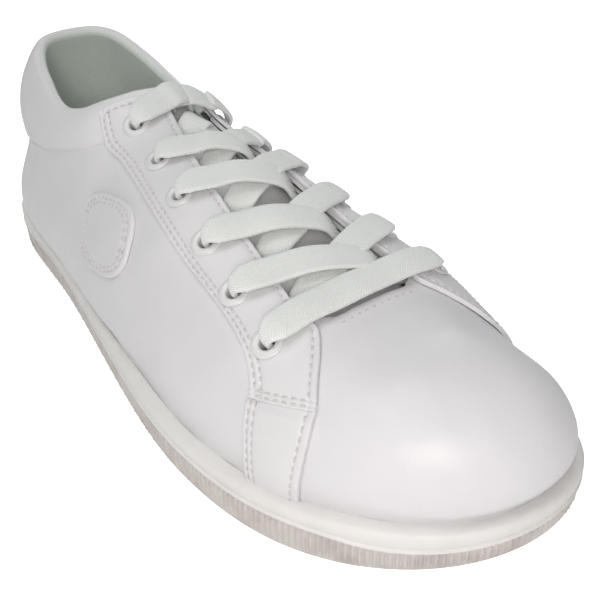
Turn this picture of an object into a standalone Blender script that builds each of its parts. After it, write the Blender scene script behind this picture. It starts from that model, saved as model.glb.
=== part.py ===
"""A right low-top lace-up cupsole trainer, built as separate closed pieces. Blender 4.5.

Scene: metres, +Z up, toe to -Y, heel to +Y, outer (lateral) side to -X, ground at Z = 0, origin on
the ground half way along the sole. Dimensions below are millimetres; add() turns them into metres.

Coordinates on the upper:
  along   distance forward of the heel's back, 0 to LENGTH (Y = LENGTH / 2 - along)
  turn    fraction of the way round the sole's outline, from the heel up the outer side to the toe
  climb   0 at the foot of the wall to 1 on the ridge, the upper's highest line
  gap     distance from the ridge seen from above, negative on the outer side
  offset  distance outwards from the upper's base surface
A side is -1 for the outer side and 1 for the inner side.
"""
import math

import bmesh
import bpy
import numpy as np
from mathutils import Vector

# ---------------------------------------------------------------- driving dimensions
MM = 0.001
LENGTH = 275.0
SIDES = {-1: "lateral", 1: "medial"}

EYELETS = 6                    # in each row, number 1 at the ankle
EYELET_FIRST, EYELET_PITCH = 103.5, 20.4
HOLE_RADIUS = 3.3

FLEX_ALONG, FLEX_Z = 214.0, 17.2   # where the forefoot bends
FLEX_GAP = 0.4                     # slit between the sole's two halves

SPRING_ALONG, SPRING_HEIGHT, SPRING_POWER = 188.0, 8.5, 2.8   # lift of the toe off the ground

# Layers of the upper, as (inner, outer) offsets.
LINING, MIDDLE, OUTER, OVERLAY = (-3.3, -2.5), (-1.95, -1.05), (-0.4, 1.0), (1.45, 2.65)

# Sole outline from above as (x, along): heel's back, outer side to the toe, and back.
OUTLINE_KNOTS = [
    (0.0, 0.0), (-20.0, 4.5), (-32.5, 19.0), (-37.2, 42.0), (-39.6, 75.0), (-44.2, 110.0),
    (-49.4, 145.0), (-52.6, 175.0), (-52.2, 198.0), (-46.6, 226.0), (-32.4, 252.6),
    (-11.0, 270.5), (13.2, 275.0), (33.9, 265.0), (44.6, 240.0), (50.4, 208.0), (48.6, 178.0),
    (39.9, 145.0), (33.0, 110.0), (33.0, 75.0), (34.6, 42.0), (31.0, 19.0), (19.4, 4.5),
]
OUTLINE_STEPS = 2400
SPLINE_SAMPLES = 6000


# ---------------------------------------------------------------- curves
def resample(curve, count, endpoint=True):
    """count points evenly spaced along a polyline."""
    steps = np.linalg.norm(np.diff(curve, axis=0), axis=1)
    length = np.concatenate([[0], np.cumsum(steps)])
    places = np.linspace(0, length[-1], count, endpoint=endpoint)
    return np.stack([np.interp(places, length, column) for column in curve.T], 1)


def closed_spline(points, count):
    """Closed cubic spline with centripetal knots, as evenly spaced points."""
    points = np.array(points, float)
    total = len(points)
    spans = np.linalg.norm(np.roll(points, -1, 0) - points, axis=1) ** 0.5
    knots = np.concatenate([[0], np.cumsum(spans)])
    matrix = np.zeros((total, total))
    right = np.zeros(points.shape)
    for i in range(total):
        before, after = spans[i - 1], spans[i]
        following = (i + 1) % total
        matrix[i, i - 1] += before
        matrix[i, i] += 2 * (before + after)
        matrix[i, following] += after
        right[i] = 6 * ((points[following] - points[i]) / after
                        - (points[i] - points[i - 1]) / before)
    bend = np.linalg.solve(matrix, right)

    places = np.linspace(0, knots[-1], SPLINE_SAMPLES, endpoint=False)
    k = np.clip(np.searchsorted(knots, places, side="right") - 1, 0, total - 1)
    following = (k + 1) % total
    span = spans[k][:, None]
    ahead = (knots[k + 1] - places)[:, None]
    behind = (places - knots[k])[:, None]
    curve = (bend[k] * ahead ** 3 / (6 * span) + bend[following] * behind ** 3 / (6 * span)
             + (points[k] / span - bend[k] * span / 6) * ahead
             + (points[following] / span - bend[following] * span / 6) * behind)
    return resample(np.vstack([curve, curve[:1]]), count, endpoint=False)


def smooth(knots):
    """Smooth function through (input, output) knots, with no overshoot between them."""
    inputs, outputs = np.array(knots, float).T
    widths = np.diff(inputs)
    rates = np.diff(outputs) / widths
    slopes = np.zeros(len(inputs))
    for i in range(1, len(inputs) - 1):
        if rates[i - 1] * rates[i] > 0:
            weight_before = 2 * widths[i] + widths[i - 1]
            weight_after = widths[i] + 2 * widths[i - 1]
            slopes[i] = ((weight_before + weight_after)
                         / (weight_before / rates[i - 1] + weight_after / rates[i]))

    def evaluate(value):
        value = np.clip(np.asarray(value, float), inputs[0], inputs[-1])
        k = np.clip(np.searchsorted(inputs, value, side="right") - 1, 0, len(inputs) - 2)
        width = widths[k]
        part = (value - inputs[k]) / width
        return ((2 * part ** 3 - 3 * part ** 2 + 1) * outputs[k]
                + (part ** 3 - 2 * part ** 2 + part) * width * slopes[k]
                + (3 * part ** 2 - 2 * part ** 3) * outputs[k + 1]
                + (part ** 3 - part ** 2) * width * slopes[k + 1])

    return evaluate


def surface_path(points, count):
    """Catmull-Rom path through (along, climb) points, spaced evenly on the surface."""
    weight = np.array([1.0, 80.0])   # a whole climb is roughly this many millimetres
    knots = np.array(points, float) * weight
    knots = np.vstack([2 * knots[0] - knots[1], knots, 2 * knots[-1] - knots[-2]])
    part = np.linspace(0, 1, 24, endpoint=False)[:, None]
    pieces = []
    for before, start, end, after in zip(knots, knots[1:], knots[2:], knots[3:]):
        pieces.append(0.5 * (2 * start + (end - before) * part
                             + (2 * before - 5 * start + 4 * end - after) * part ** 2
                             + (3 * start - before - 3 * end + after) * part ** 3))
    pieces.append(knots[-2][None])
    return resample(np.vstack(pieces), count) / weight


# ---------------------------------------------------------------- sole outline
OUTLINE = closed_spline(OUTLINE_KNOTS, OUTLINE_STEPS)
TIP = int(np.argmax(OUTLINE[:, 1]))
TIP_TURN = TIP / OUTLINE_STEPS


def outward_normals(loop):
    tangent = np.roll(loop, -1, 0) - np.roll(loop, 1, 0)
    tangent /= np.linalg.norm(tangent, axis=1)[:, None]
    normal = np.stack([-tangent[:, 1], tangent[:, 0]], 1)
    facing = np.mean(np.sum(normal * (loop - loop.mean(0)), 1))
    return -normal if facing < 0 else normal


NORMALS = outward_normals(OUTLINE)


def on_loop(turn, table):
    """A table of values round the outline, read at turn."""
    place = np.asarray(turn, float) % 1.0 * OUTLINE_STEPS
    k = np.floor(place).astype(int) % OUTLINE_STEPS
    part = (place - np.floor(place))[..., None]
    return table[k] * (1 - part) + table[(k + 1) % OUTLINE_STEPS] * part


def outline(turn, offset=0.0):
    """(x, along) on the outline moved outwards by offset, and the outward normal there."""
    normal = on_loop(turn, NORMALS)
    return on_loop(turn, OUTLINE) + normal * np.asarray(offset, float)[..., None], normal


# ---------------------------------------------------------------- shape of the upper, by along
# how far inside the sole's outline the upper starts
feather = smooth([(0, 3.9), (16, 3.0), (30, 2.8), (100, 2.8), (170, 5.0), (275, 5.0)])
ridge_z = smooth([
    (0, 99.5), (55, 99.4), (85, 88.5), (108, 75.2), (128, 71.0), (150, 67.8), (170, 61.5),
    (190, 55.9), (205, 52.9), (218, 49.6), (230, 47.8)])
ridge_x = smooth([(0, 0), (60, -0.7), (85, 1.5), (110, 4.1), (150, 2.7), (190, 2.4), (210, 2.9),
                  (230, 4.1)])
foot_z = smooth([(0, 13.0), (60, 12.6), (130, 11.6), (275, 10)])
# top and bottom of the foxing, the rubber band round the sole, and its inner offset
lip_z = smooth([(0, 18.2), (60, 15.8), (130, 15.6), (170, 16.2), (214, 16.4), (241, 16.0),
                (255, 14.6), (268, 12.7), (275, 12.2)])
split_z = smooth([(0, 10.8), (232, 10.8), (241, 10.4), (255, 8.0), (268, 6.6), (275, 6.3)])
foxing_inner = smooth([(0, -1.4), (100, -1.4), (170, -2.0), (275, -2.0)])
# squareness of the cross-section, and what is added to it on each side
squareness = smooth([(0, 2.0), (90, 2.02), (130, 2.1), (170, 2.16), (200, 2.36), (230, 2.62),
                     (275, 2.7)])
extra_square = {
    -1: smooth([(150, 0.0), (275, 0.0)]),
    1: smooth([(150, 0.0), (200, 0.29), (240, -0.39), (275, 0.0)]),
}
# swelling of the sides just above the lip, and the waist at the collar's seam
bulge = {
    -1: smooth([(0, 0.4), (60, 4.1), (110, 3.3), (160, 1.0), (215, 0.5), (250, 1.0), (275, 3.2)]),
    1: smooth([(0, 0.4), (60, 4.1), (110, 2.0), (160, 0.5), (215, 0.5), (250, 1.0), (275, 3.2)]),
}
BULGE_POWER, BULGE_HEIGHT = 0.56, 28.0
BULGE_START, BULGE_EASE = 0.8, 0.12   # height above the lip; share of the bulge it eases in over
waist = smooth([(0, 3.4), (60, 3.4), (105, 1.0), (140, 0.0), (275, 0.0)])
WAIST_Z, WAIST_SPREAD = 45.0, 13.0

# The ridge starts near RIDGE_HEEL, and its pace slows to nothing over RIDGE_SLOWING.
RIDGE_HEEL, RIDGE_ROUNDING = 40.0, 14.0
RIDGE_SLOW_FROM, RIDGE_SLOWING = 205.0, 50.0
RIDGE_END = RIDGE_SLOW_FROM + RIDGE_SLOWING / 2
RIDGE_BLEND = 0.93   # climb above which normals turn towards the ridge's


def by_side(turn, curves, along):
    """A curve that differs between the sides, blended over the heel's back and the toe's tip."""
    blend = 0.02
    from_heel = (np.asarray(turn) + 0.5) % 1.0 - 0.5
    from_tip = TIP_TURN - np.asarray(turn) % 1.0
    outer = np.where(np.abs(from_heel) > 0.25,
                     np.clip((from_tip / blend + 1) / 2, 0, 1),
                     np.clip((from_heel / blend + 1) / 2, 0, 1))
    return curves[1](along) * (1 - outer) + curves[-1](along) * outer


def toe_spring(along):
    """How far the toe lifts off the ground."""
    part = (np.asarray(along, float) - SPRING_ALONG) / (LENGTH - SPRING_ALONG)
    return SPRING_HEIGHT * np.clip(part, 0, 2) ** SPRING_POWER


def to_frame(points):
    """(x, along, z) on a flat sole to the shoe's X, Y, Z with the toe's lift."""
    x, along, z = np.moveaxis(np.asarray(points, float), -1, 0)
    return np.stack([x, LENGTH / 2 - along, z + toe_spring(along)], -1)


def wall_foot(turn):
    """(x, along) of the foot of the upper's wall, and the outward normal."""
    return outline(turn, -feather(on_loop(turn, OUTLINE)[..., 1]))


def foot_along(turn):
    return wall_foot(turn)[0][..., 1]


def ridge_along(along):
    """Where on the ridge the section that starts at along on the wall's foot ends."""
    rounded = 0.5 * (along + RIDGE_HEEL
                     + np.sqrt((along - RIDGE_HEEL) ** 2 + RIDGE_ROUNDING ** 2))
    part = np.clip((along - RIDGE_SLOW_FROM) / RIDGE_SLOWING, 0, 1)
    slowed = (RIDGE_SLOW_FROM + RIDGE_SLOWING * (part - 0.5 * part * part)
              + (rounded - along) * (1 - part))
    return np.where(along > RIDGE_SLOW_FROM, slowed, rounded)


def ridge_point(along):
    """(x, along) of the ridge's end of a section."""
    end = ridge_along(along)
    return np.stack([ridge_x(end), end], -1)


def ridge_normal(along):
    before = np.asarray(along) - 0.5
    after = np.minimum(np.asarray(along) + 0.5, RIDGE_END)
    rise = ridge_z(after) + toe_spring(after) - ridge_z(before) - toe_spring(before)
    slope = rise / np.maximum(after - before, 0.5)
    normal = np.stack([np.zeros_like(slope), slope, np.ones_like(slope)], -1)
    return normal / np.linalg.norm(normal, axis=-1)[..., None]


def section_power(turn, along):
    """Exponent of the superellipse that a section follows."""
    return 2.0 / (squareness(ridge_along(along)) + by_side(turn, extra_square, along))


def flat_surface(turn, climb):
    """The upper's surface as (x, along, z) on a flat sole."""
    foot, outward = wall_foot(turn)
    along = foot[..., 1]
    ridge = ridge_point(along)
    power = section_power(turn, along)
    angle = np.clip(climb, 0, 1) * np.pi / 2
    spread = np.where(climb >= 1, 0.0, np.maximum(np.cos(angle), 1e-12) ** power)
    low, high = foot_z(along), ridge_z(ridge[..., 1])
    z = np.where(climb >= 1, high, low + (high - low) * np.sin(angle) ** power)

    base = lip_z(along) + BULGE_START
    rise = np.clip((z - base) / np.minimum(BULGE_HEIGHT, 0.9 * (high - base)), 0, 1)
    swell = (by_side(turn, bulge, along) * np.sin(np.pi * rise ** BULGE_POWER)
             * np.clip(rise / BULGE_EASE, 0, 1) ** 0.5)
    pinch = waist(along) * np.exp(-((z - WAIST_Z) / WAIST_SPREAD) ** 2)
    push = (swell - pinch) * np.minimum(1.0, 2.0 * spread)
    flat = ridge + (foot - ridge) * spread[..., None] + outward * push[..., None]
    return np.concatenate([flat, z[..., None]], -1)


def surface(turn, climb, offset=0.0):
    """Points of the upper moved outwards by offset, and the outward normals."""
    turn, climb = np.broadcast_arrays(np.asarray(turn, float), np.asarray(climb, float))
    offset = np.broadcast_to(np.asarray(offset, float), turn.shape)
    turn_step, climb_step = 4e-4, 4e-3
    # the differences stay clear of both ends, where the surface is pinched
    inside = np.clip(climb, 5e-3, 1 - 8e-3)
    around = (to_frame(flat_surface(turn + turn_step, inside))
              - to_frame(flat_surface(turn - turn_step, inside)))
    upward = (to_frame(flat_surface(turn, inside + climb_step))
              - to_frame(flat_surface(turn, inside - climb_step)))
    normal = np.cross(around, upward)
    normal /= np.maximum(np.linalg.norm(normal, axis=-1), 1e-12)[..., None]
    blend = np.clip((climb - RIDGE_BLEND) / (1 - RIDGE_BLEND), 0, 1)[..., None] ** 2
    normal = normal * (1 - blend) + ridge_normal(ridge_along(foot_along(turn))) * blend
    normal /= np.linalg.norm(normal, axis=-1)[..., None]
    return to_frame(flat_surface(turn, climb)) + normal * offset[..., None], normal


LOOP_TURNS = np.arange(OUTLINE_STEPS + 1) / OUTLINE_STEPS
LOOP_ALONG = foot_along(LOOP_TURNS)


def turn_at(along, side):
    """turn on a side where the foot of the wall is at along."""
    along = np.asarray(along, float)
    outer = np.interp(along, LOOP_ALONG[:TIP + 1], LOOP_TURNS[:TIP + 1])
    inner = np.interp(-along, -LOOP_ALONG[TIP:], LOOP_TURNS[TIP:])
    return np.where(np.asarray(side) < 0, outer, inner)


def climb_at_z(turn, z):
    """climb where the surface, on a flat sole, reaches the height z."""
    along = foot_along(turn)
    low, high = foot_z(along), ridge_z(ridge_along(along))
    part = np.clip((z - low) / (high - low), 0, 1)
    return np.arcsin(part ** (1 / section_power(turn, along))) / (np.pi / 2)


def climb_at_gap(turn, gap):
    """climb where the surface is gap from the ridge."""
    foot = wall_foot(turn)[0]
    along = foot[..., 1]
    reach = np.linalg.norm(foot - ridge_point(along), axis=-1)
    part = np.clip(np.abs(gap) / reach, 0, 1)
    return np.arccos(part ** (1 / section_power(turn, along))) / (np.pi / 2)


def near_ridge(along, gap, offset=0.0):
    """Points and normals of the surface by along and the signed gap."""
    along, gap = np.broadcast_arrays(np.asarray(along, float), np.asarray(gap, float))
    turn = turn_at(along, np.where(gap < 0, -1.0, 1.0))
    return surface(turn, climb_at_gap(turn, gap), offset)


LOW_ROWS = (0.9, 3.5, 8.0, 15.0)   # heights above the lip of the rows where the sides curve most


def wall_rows(turn, top, rows):
    """Rows of climb from the sole to top: the foot, LOW_ROWS, then evenly spaced."""
    turn = np.asarray(turn, float)
    lip = lip_z(foot_along(turn))
    low = [0 * turn]
    for i, height in enumerate(LOW_ROWS):
        low.append(np.minimum(climb_at_z(turn, lip + height), top * (0.15 + 0.15 * i)))
    count = rows - len(low)
    return np.array(low + [low[-1] + (top - low[-1]) * (k + 1.0) / count for k in range(count)])


def wall_grid(turns, tops):
    """Grid of climb for a grid of turns, each row spaced for its own turns and tops."""
    rows = len(turns)
    diagonal = np.arange(rows)
    return wall_rows(turns, tops, rows)[diagonal, diagonal]


# ---------------------------------------------------------------- lines of the design
# distance of the throat's edge and of the eyelets from the ridge, by along
throat = {
    -1: smooth([(90, 2.5), (98, 3.5), (110, 5.6), (123, 8.4), (152, 13.4), (183, 16.8),
                (201, 19.4), (212, 21.2)]),
    1: smooth([(90, 9.6), (98, 10.0), (120, 11.8), (160, 14.0), (212, 16.6)]),
}
eyelet_gap = {
    -1: smooth([(90, 14.9), (103.5, 16.2), (205.5, 31.3), (215, 32.6)]),
    1: smooth([(90, 15.2), (103.5, 15.8), (124, 18.4), (165, 22.8), (205.5, 27.4), (215, 28.0)]),
}
# heights of the collar's top line and of its seam, by along
topline_z = {
    -1: smooth([(4, 85.0), (18, 83.8), (45, 77.2), (68, 71.2), (78, 73.2), (88, 78.4),
                (96, 82.6)]),
    1: smooth([(4, 85.0), (18, 84.0), (45, 78.6), (68, 73.6), (80, 72.8), (88, 73.8),
               (96, 75.0)]),
}
collar_seam_z = {
    -1: smooth([(4, 47.5), (25, 47.8), (46, 50.5), (73, 58.5), (90, 64.0), (99, 67.2)]),
    1: smooth([(4, 47.5), (25, 47.6), (46, 48.2), (73, 50.4), (90, 52.4), (99, 53.6)]),
}
# edges of the eyestay and saddle, as (along, climb)
STAY_OUTER = {
    -1: [(88.0, 0.650), (98.5, 0.602), (110, 0.618), (129, 0.604), (147, 0.580), (160, 0.568),
         (177, 0.572), (190, 0.562), (200.5, 0.522), (207.5, 0.455)],
    1: [(88.0, 0.600), (98.5, 0.460), (110, 0.430), (129, 0.445), (147, 0.472), (160, 0.492),
        (177, 0.520), (190, 0.530), (200.5, 0.505), (207.5, 0.450)],
}
STAY_OUTER_END = (210.7, 0.388)
STAY_FRONT = [(217.5, 0.735), (222.5, 0.665), (228.5, 0.545), (230.7, 0.480)]
STAY_CORNER_ALONG, STAY_CORNER_CLIMB = 211.8, 0.784   # the climb is for the outer side
STAY_INNER_ALONG = (98.6, 110, 123, 137, 152, 167, 183, 195, 205)
SADDLE_REAR = [(210.8, 0.366), (213.6, 0.250), (215.8, 0.120), (216.4, 0.0)]
SADDLE_FRONT = [(230.9, 0.462), (232.6, 0.300), (232.6, 0.0)]
# where quarter and vamp meet: along, by climb
seam_along = smooth([(0.0, 224.5), (0.30, 223.6), (0.47, 221.0), (0.56, 217.0), (0.665, 211.0),
                     (0.735, 207.0), (0.784, 204.0), (1.0, 203.0)])
SEAM_GAP = 0.3   # each panel's distance from that seam


def throat_climb(along, side, margin=0.0):
    """climb at margin outside the throat's edge."""
    return climb_at_gap(turn_at(along, side), throat[side](along) + margin)


def eyelet_at(side, number):
    """(along, gap) of an eyelet."""
    along = EYELET_FIRST + EYELET_PITCH * (number - 1)
    return along, side * float(eyelet_gap[side](along))


# ---------------------------------------------------------------- scene, materials and axes
for old in list(bpy.data.objects):
    bpy.data.objects.remove(old, do_unlink=True)


def material(name, colour, roughness, metallic=0.0):
    made = bpy.data.materials.new(name)
    made.use_nodes = True
    inputs = made.node_tree.nodes["Principled BSDF"].inputs
    inputs["Base Color"].default_value = (*colour, 1.0)
    inputs["Roughness"].default_value = roughness
    inputs["Metallic"].default_value = metallic
    made.diffuse_color = (*colour, 1.0)
    return made


LEATHER = material("white_leather", colour=(0.80, 0.78, 0.80), roughness=0.42)
RUBBER = material("offwhite_rubber", colour=(0.74, 0.73, 0.69), roughness=0.6)
FOAM = material("foam", colour=(0.72, 0.71, 0.66), roughness=0.9)
BOARD = material("board", colour=(0.55, 0.47, 0.36), roughness=0.9)
TEXTILE = material("grey_textile", colour=(0.50, 0.53, 0.50), roughness=0.9)
LACE = material("white_lace", colour=(0.78, 0.80, 0.77), roughness=0.85)
METAL = material("eyelet_metal", colour=(0.70, 0.71, 0.70), roughness=0.4, metallic=0.6)
PLASTIC = material("clear_plastic", colour=(0.75, 0.75, 0.75), roughness=0.3)


def empty(name, x, y, z):
    made = bpy.data.objects.new(name, None)
    made.location = (x * MM, y * MM, z * MM)
    bpy.context.scene.collection.objects.link(made)
    return made


# The tongue's root lies under the ridge, a hair to the inner side of it.
TONGUE_ROOT = near_ridge(210.0, 0.01, -6.0)[0]
FLEX_Y = LENGTH / 2 - FLEX_ALONG
SHOE = empty("shoe_origin", 0, 0, 0)
FORE = empty("forefoot_flex_axis", 0, FLEX_Y, FLEX_Z)
TONGUE = empty("tongue_axis", 0, float(TONGUE_ROOT[1]), float(TONGUE_ROOT[2]))


# ---------------------------------------------------------------- making solids
def cut_across(bm, y, keep):
    """Keep the part behind (+1) or in front of (-1) the plane at y, and close the cut."""
    geometry = bm.verts[:] + bm.edges[:] + bm.faces[:]
    bmesh.ops.bisect_plane(bm, geom=geometry, dist=1e-7, plane_co=(0, y, 0),
                           plane_no=(0, 1, 0), clear_inner=keep > 0, clear_outer=keep < 0)
    rim = [edge for edge in bm.edges if edge.is_boundary]
    bmesh.ops.holes_fill(bm, edges=rim, sides=0)


def add(name, solid, mat, parent=SHOE, cut=None, weld=0.004):
    """An object from (points, faces) in millimetres. cut is (y, keep) for cut_across."""
    points, faces = solid
    origin = np.array(parent.location) / MM
    mesh = bpy.data.meshes.new(name)
    mesh.from_pydata(((np.asarray(points) - origin) * MM).tolist(), [],
                     [tuple(int(i) for i in face) for face in faces])
    bm = bmesh.new()
    bm.from_mesh(mesh)
    bmesh.ops.remove_doubles(bm, verts=bm.verts, dist=weld * MM)
    bmesh.ops.dissolve_degenerate(bm, edges=bm.edges, dist=1e-6)
    if cut:
        y, keep = cut
        cut_across(bm, (y - origin[1]) * MM, keep)
    bmesh.ops.recalc_face_normals(bm, faces=bm.faces)
    if bm.calc_volume(signed=True) < 0:
        bmesh.ops.reverse_faces(bm, faces=bm.faces)
    bm.to_mesh(mesh)
    bm.free()
    mesh.materials.append(mat)
    mesh.shade_smooth()
    mesh.set_sharp_from_angle(angle=math.radians(35))
    made = bpy.data.objects.new(name, mesh)
    bpy.context.scene.collection.objects.link(made)
    made.parent = parent
    return made


def loft(loops, ends):
    """A solid through closed loops. ends: "joined" (last loop to first), "polygon" (one face
    each) or "strips" (faces across, for loops that start at the heel and are mirrored)."""
    size = len(loops[0])
    last = (len(loops) - 1) * size
    pairs = [(k * size, (k + 1) * size) for k in range(len(loops) - 1)]
    if ends == "joined":
        pairs.append((last, 0))
    faces = []
    for a, b in pairs:
        for i in range(size):
            j = (i + 1) % size
            faces.append((a + i, a + j, b + j, b + i))
    if ends == "polygon":
        faces.append(tuple(range(size - 1, -1, -1)))
        faces.append(tuple(range(last, last + size)))
    if ends == "strips":
        half = size // 2
        for base in (0, last):
            faces.append((base, base + 1, base + size - 1))
            for k in range(1, half - 1):
                faces.append((base + k, base + k + 1, base + size - k - 1, base + size - k))
            faces.append((base + half - 1, base + half, base + half + 1))
    return np.concatenate(loops), faces


def two_skins(inner, outer, index, rim):
    """A closed sheet from two grids of points. index numbers the grid's points, and rim lists
    the numbers round its edge. Points that share a number collapse the faces between them."""
    shift = index.size
    faces = []

    def add_face(corners):
        corners = [a for i, a in enumerate(corners) if a != corners[i - 1]]
        if len(set(corners)) >= 3:
            faces.append(corners)

    for row, following in zip(index, index[1:]):
        for a, b, c, d in zip(row, row[1:], following[1:], following):
            add_face((a, b, c, d))
            add_face((shift + a, shift + d, shift + c, shift + b))
    for a, b in zip(rim, np.roll(rim, -1)):
        faces.append((a, shift + a, shift + b, b))
    return np.concatenate([outer.reshape(-1, 3), inner.reshape(-1, 3)]), faces


def plain_skins(inner, outer):
    """A closed sheet from two plain rectangular grids of points."""
    rows, columns = inner.shape[:2]
    index = np.arange(rows * columns).reshape(rows, columns)
    rim = np.concatenate([index[:, 0], index[-1, 1:], index[-2::-1, -1], index[0, -2:0:-1]])
    return two_skins(inner, outer, index, rim)


def sheet(name, turns, climbs, layer, mat, parent=SHOE):
    """A panel of the upper between the two offsets of layer."""
    inner, outer = (surface(turns, climbs, offset)[0] for offset in layer)
    return add(name, plain_skins(inner, outer), mat, parent)


def band(name, edge, far_edge, rows, side, layer, mat):
    """A panel between two paths of (along, climb) points."""
    part = np.linspace(0, 1, rows)[:, None, None]
    grid = edge[None] * (1 - part) + far_edge[None] * part
    return sheet(name, turn_at(grid[..., 0], side), grid[..., 1], layer, mat)


# ---------------------------------------------------------------- sole
RING_ROWS = 34
EVEN_ROWS = np.linspace(0, 1, RING_ROWS)
RING_SPACING = 0.35 * EVEN_ROWS + 0.65 * (0.5 - 0.5 * np.cos(np.pi * EVEN_ROWS))


def value_at(value, along):
    """value as an array over along: a curve of along, or one number."""
    return value(along) if callable(value) else np.full(np.shape(along), float(value))


def ring(offset, z):
    """Loop round the outline moved by offset: heel, outer side to the toe, and back."""
    loop = outline(LOOP_TURNS, value_at(offset, outline(LOOP_TURNS)[0][:, 1]))[0]
    x, along = loop.T
    tip = int(np.argmax(along))
    near_heel = (LOOP_TURNS < 0.1) | (LOOP_TURNS > 0.9)
    heel = int(np.argmin(np.where(near_heel, along, 1e9)))
    rows = along[heel] + (along[tip] - along[heel]) * RING_SPACING[1:-1]
    outer = np.interp(rows, np.maximum.accumulate(along[:tip + 1]), x[:tip + 1])
    inner = np.interp(-rows, np.maximum.accumulate(-along[tip:]), x[tip:])
    flat = np.vstack([loop[heel], np.column_stack([outer, rows]), loop[tip],
                      np.column_stack([inner, rows])[::-1]])
    return to_frame(np.column_stack([flat, value_at(z, flat[:, 1])]))


def raised(curve, amount):
    return lambda along: curve(along) + amount


def slab(offset, bottom, top):
    return loft([ring(offset, bottom), ring(offset, top)], "strips")


def build_sole():
    """Every layer of the sole, cut into a rear and a fore half at the flex line."""
    outsole_top = raised(split_z, -0.4)
    outsole = loft([ring(-1.0, 0), ring(0, 1.4), ring(0, outsole_top), ring(-2.0, outsole_top),
                    ring(-2.0, 3.4)], "strips")
    foxing = loft([ring(foxing_inner, split_z), ring(0.2, split_z),
                   ring(0.8, raised(split_z, 1.2)), ring(0.7, raised(lip_z, -1.2)),
                   ring(-0.2, lip_z), ring(foxing_inner, lip_z)], "joined")
    layers = {
        "outsole": (outsole, RUBBER),
        "foxing": (foxing, RUBBER),
        "midsole": (slab(-2.4, 3.8, raised(foot_z, -0.4)), FOAM),
        "insole_board": (slab(-8.8, foot_z, raised(foot_z, 1.4)), BOARD),
        "sockliner_foam": (slab(-8.9, raised(foot_z, 1.8), raised(foot_z, 4.8)), FOAM),
        "sockliner_cover": (slab(-8.9, raised(foot_z, 5.1), raised(foot_z, 5.7)), TEXTILE),
    }
    for half, parent, keep in (("rear", SHOE, 1), ("fore", FORE, -1)):
        for name, (solid, mat) in layers.items():
            add(f"{name}_{half}", solid, mat, parent, cut=(FLEX_Y + keep * FLEX_GAP / 2, keep))


# ---------------------------------------------------------------- toe
VAMP_CLIMBS = np.array([0, 0.12, 0.25, 0.38, 0.50, 0.61, 0.71, 0.80, 0.89, 1.0])
PUFF_CLIMBS = np.array([0.05, 0.12, 0.25, 0.38, 0.50, 0.61])
RIDGE_POINT_ALONG = 254.5   # sections from here forward end in one point on the ridge


def toe_turns(rears, columns):
    """Rows of turn from the outer side's rear edge over the tip to the inner side's."""
    start = turn_at(rears, -1.0)[:, None]
    outer = start + (TIP_TURN - start) * np.linspace(0, 1, columns)
    inner = turn_at(foot_along(outer[:, -2::-1]), 1.0)
    return np.hstack([outer, inner])


def toe_sheet(name, rears, columns, layer, mat):
    """A sheet round the toe whose two sides are joined along the ridge."""
    turns = toe_turns(rears, columns)
    inner, outer = (surface(turns, VAMP_CLIMBS[:, None], offset)[0] for offset in layer)
    index = np.arange(turns.size).reshape(turns.shape)
    middle = columns - 1
    index[-1, middle + 1:] = index[-1, :middle][::-1].copy()
    apex = int(np.argmax(foot_along(turns[-1, :columns]) >= RIDGE_POINT_ALONG))
    index[-1, apex:2 * middle - apex + 1] = index[-1, apex]
    rim = np.concatenate([index[0], index[1:, -1], index[-2:0:-1, 0]])
    add(name, two_skins(inner, outer, index, rim), mat)


def build_toe():
    seam = seam_along(VAMP_CLIMBS) + SEAM_GAP
    # near the ridge the vamp's rear edge steps forward
    step = 7.6 * np.clip((VAMP_CLIMBS - 0.76) / 0.12, 0, 1)
    toe_sheet("vamp", seam + step, 11, OUTER, LEATHER)
    toe_sheet("vamp_lining", np.maximum(seam, 211.0), 9, LINING, TEXTILE)
    sheet("toe_puff", toe_turns(244.0 + 4.0 * PUFF_CLIMBS, 9), PUFF_CLIMBS[:, None], MIDDLE,
          FOAM, FORE)


# ---------------------------------------------------------------- sides
SEAM_SPACING_ALONG = 215.0   # where the rows are spaced to find the panels' front ends


def quarter_top(turn, side):
    """climb of the quarter's top: the collar's seam, blending into the throat's edge."""
    along = foot_along(turn)
    collar = climb_at_z(turn, collar_seam_z[side](along) - 0.2)
    opening = climb_at_gap(turn, throat[side](along) + 0.4)
    part = np.clip((along - 97.0) / 9.0, 0, 1)
    part = part * part * (3 - 2 * part)
    return collar * (1 - part) + opening * part


def build_quarter(side):
    """Outer panel from the heel's centre to the seam under the saddle."""
    spacing = np.linspace(0, 1, 23)
    spacing = 0.62 * spacing + 0.38 * spacing * spacing
    climbs = wall_rows(turn_at(SEAM_SPACING_ALONG, side), 0.80, 9)
    start = 0.0011 if side < 0 else 1 - 0.0011
    end = turn_at(seam_along(climbs) - SEAM_GAP, side)[:, None]
    turns = start + (end - start) * spacing
    climbs = wall_grid(turns, quarter_top(turns, side))
    return sheet("quarter_" + SIDES[side], turns, climbs, OUTER, LEATHER)


def build_quarter_lining(side):
    """Lining of the side, below the eyestay."""
    climbs = wall_rows(turn_at(SEAM_SPACING_ALONG, side), 0.50, 7)
    along = np.linspace(100.0, seam_along(climbs) - 0.4, 14, axis=1)
    turns = turn_at(along, side)
    tops = smooth(STAY_OUTER[side])(np.minimum(along, 209)) - 0.055
    sheet("quarter_lining_" + SIDES[side], turns, wall_grid(turns, tops), LINING, TEXTILE)


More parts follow.
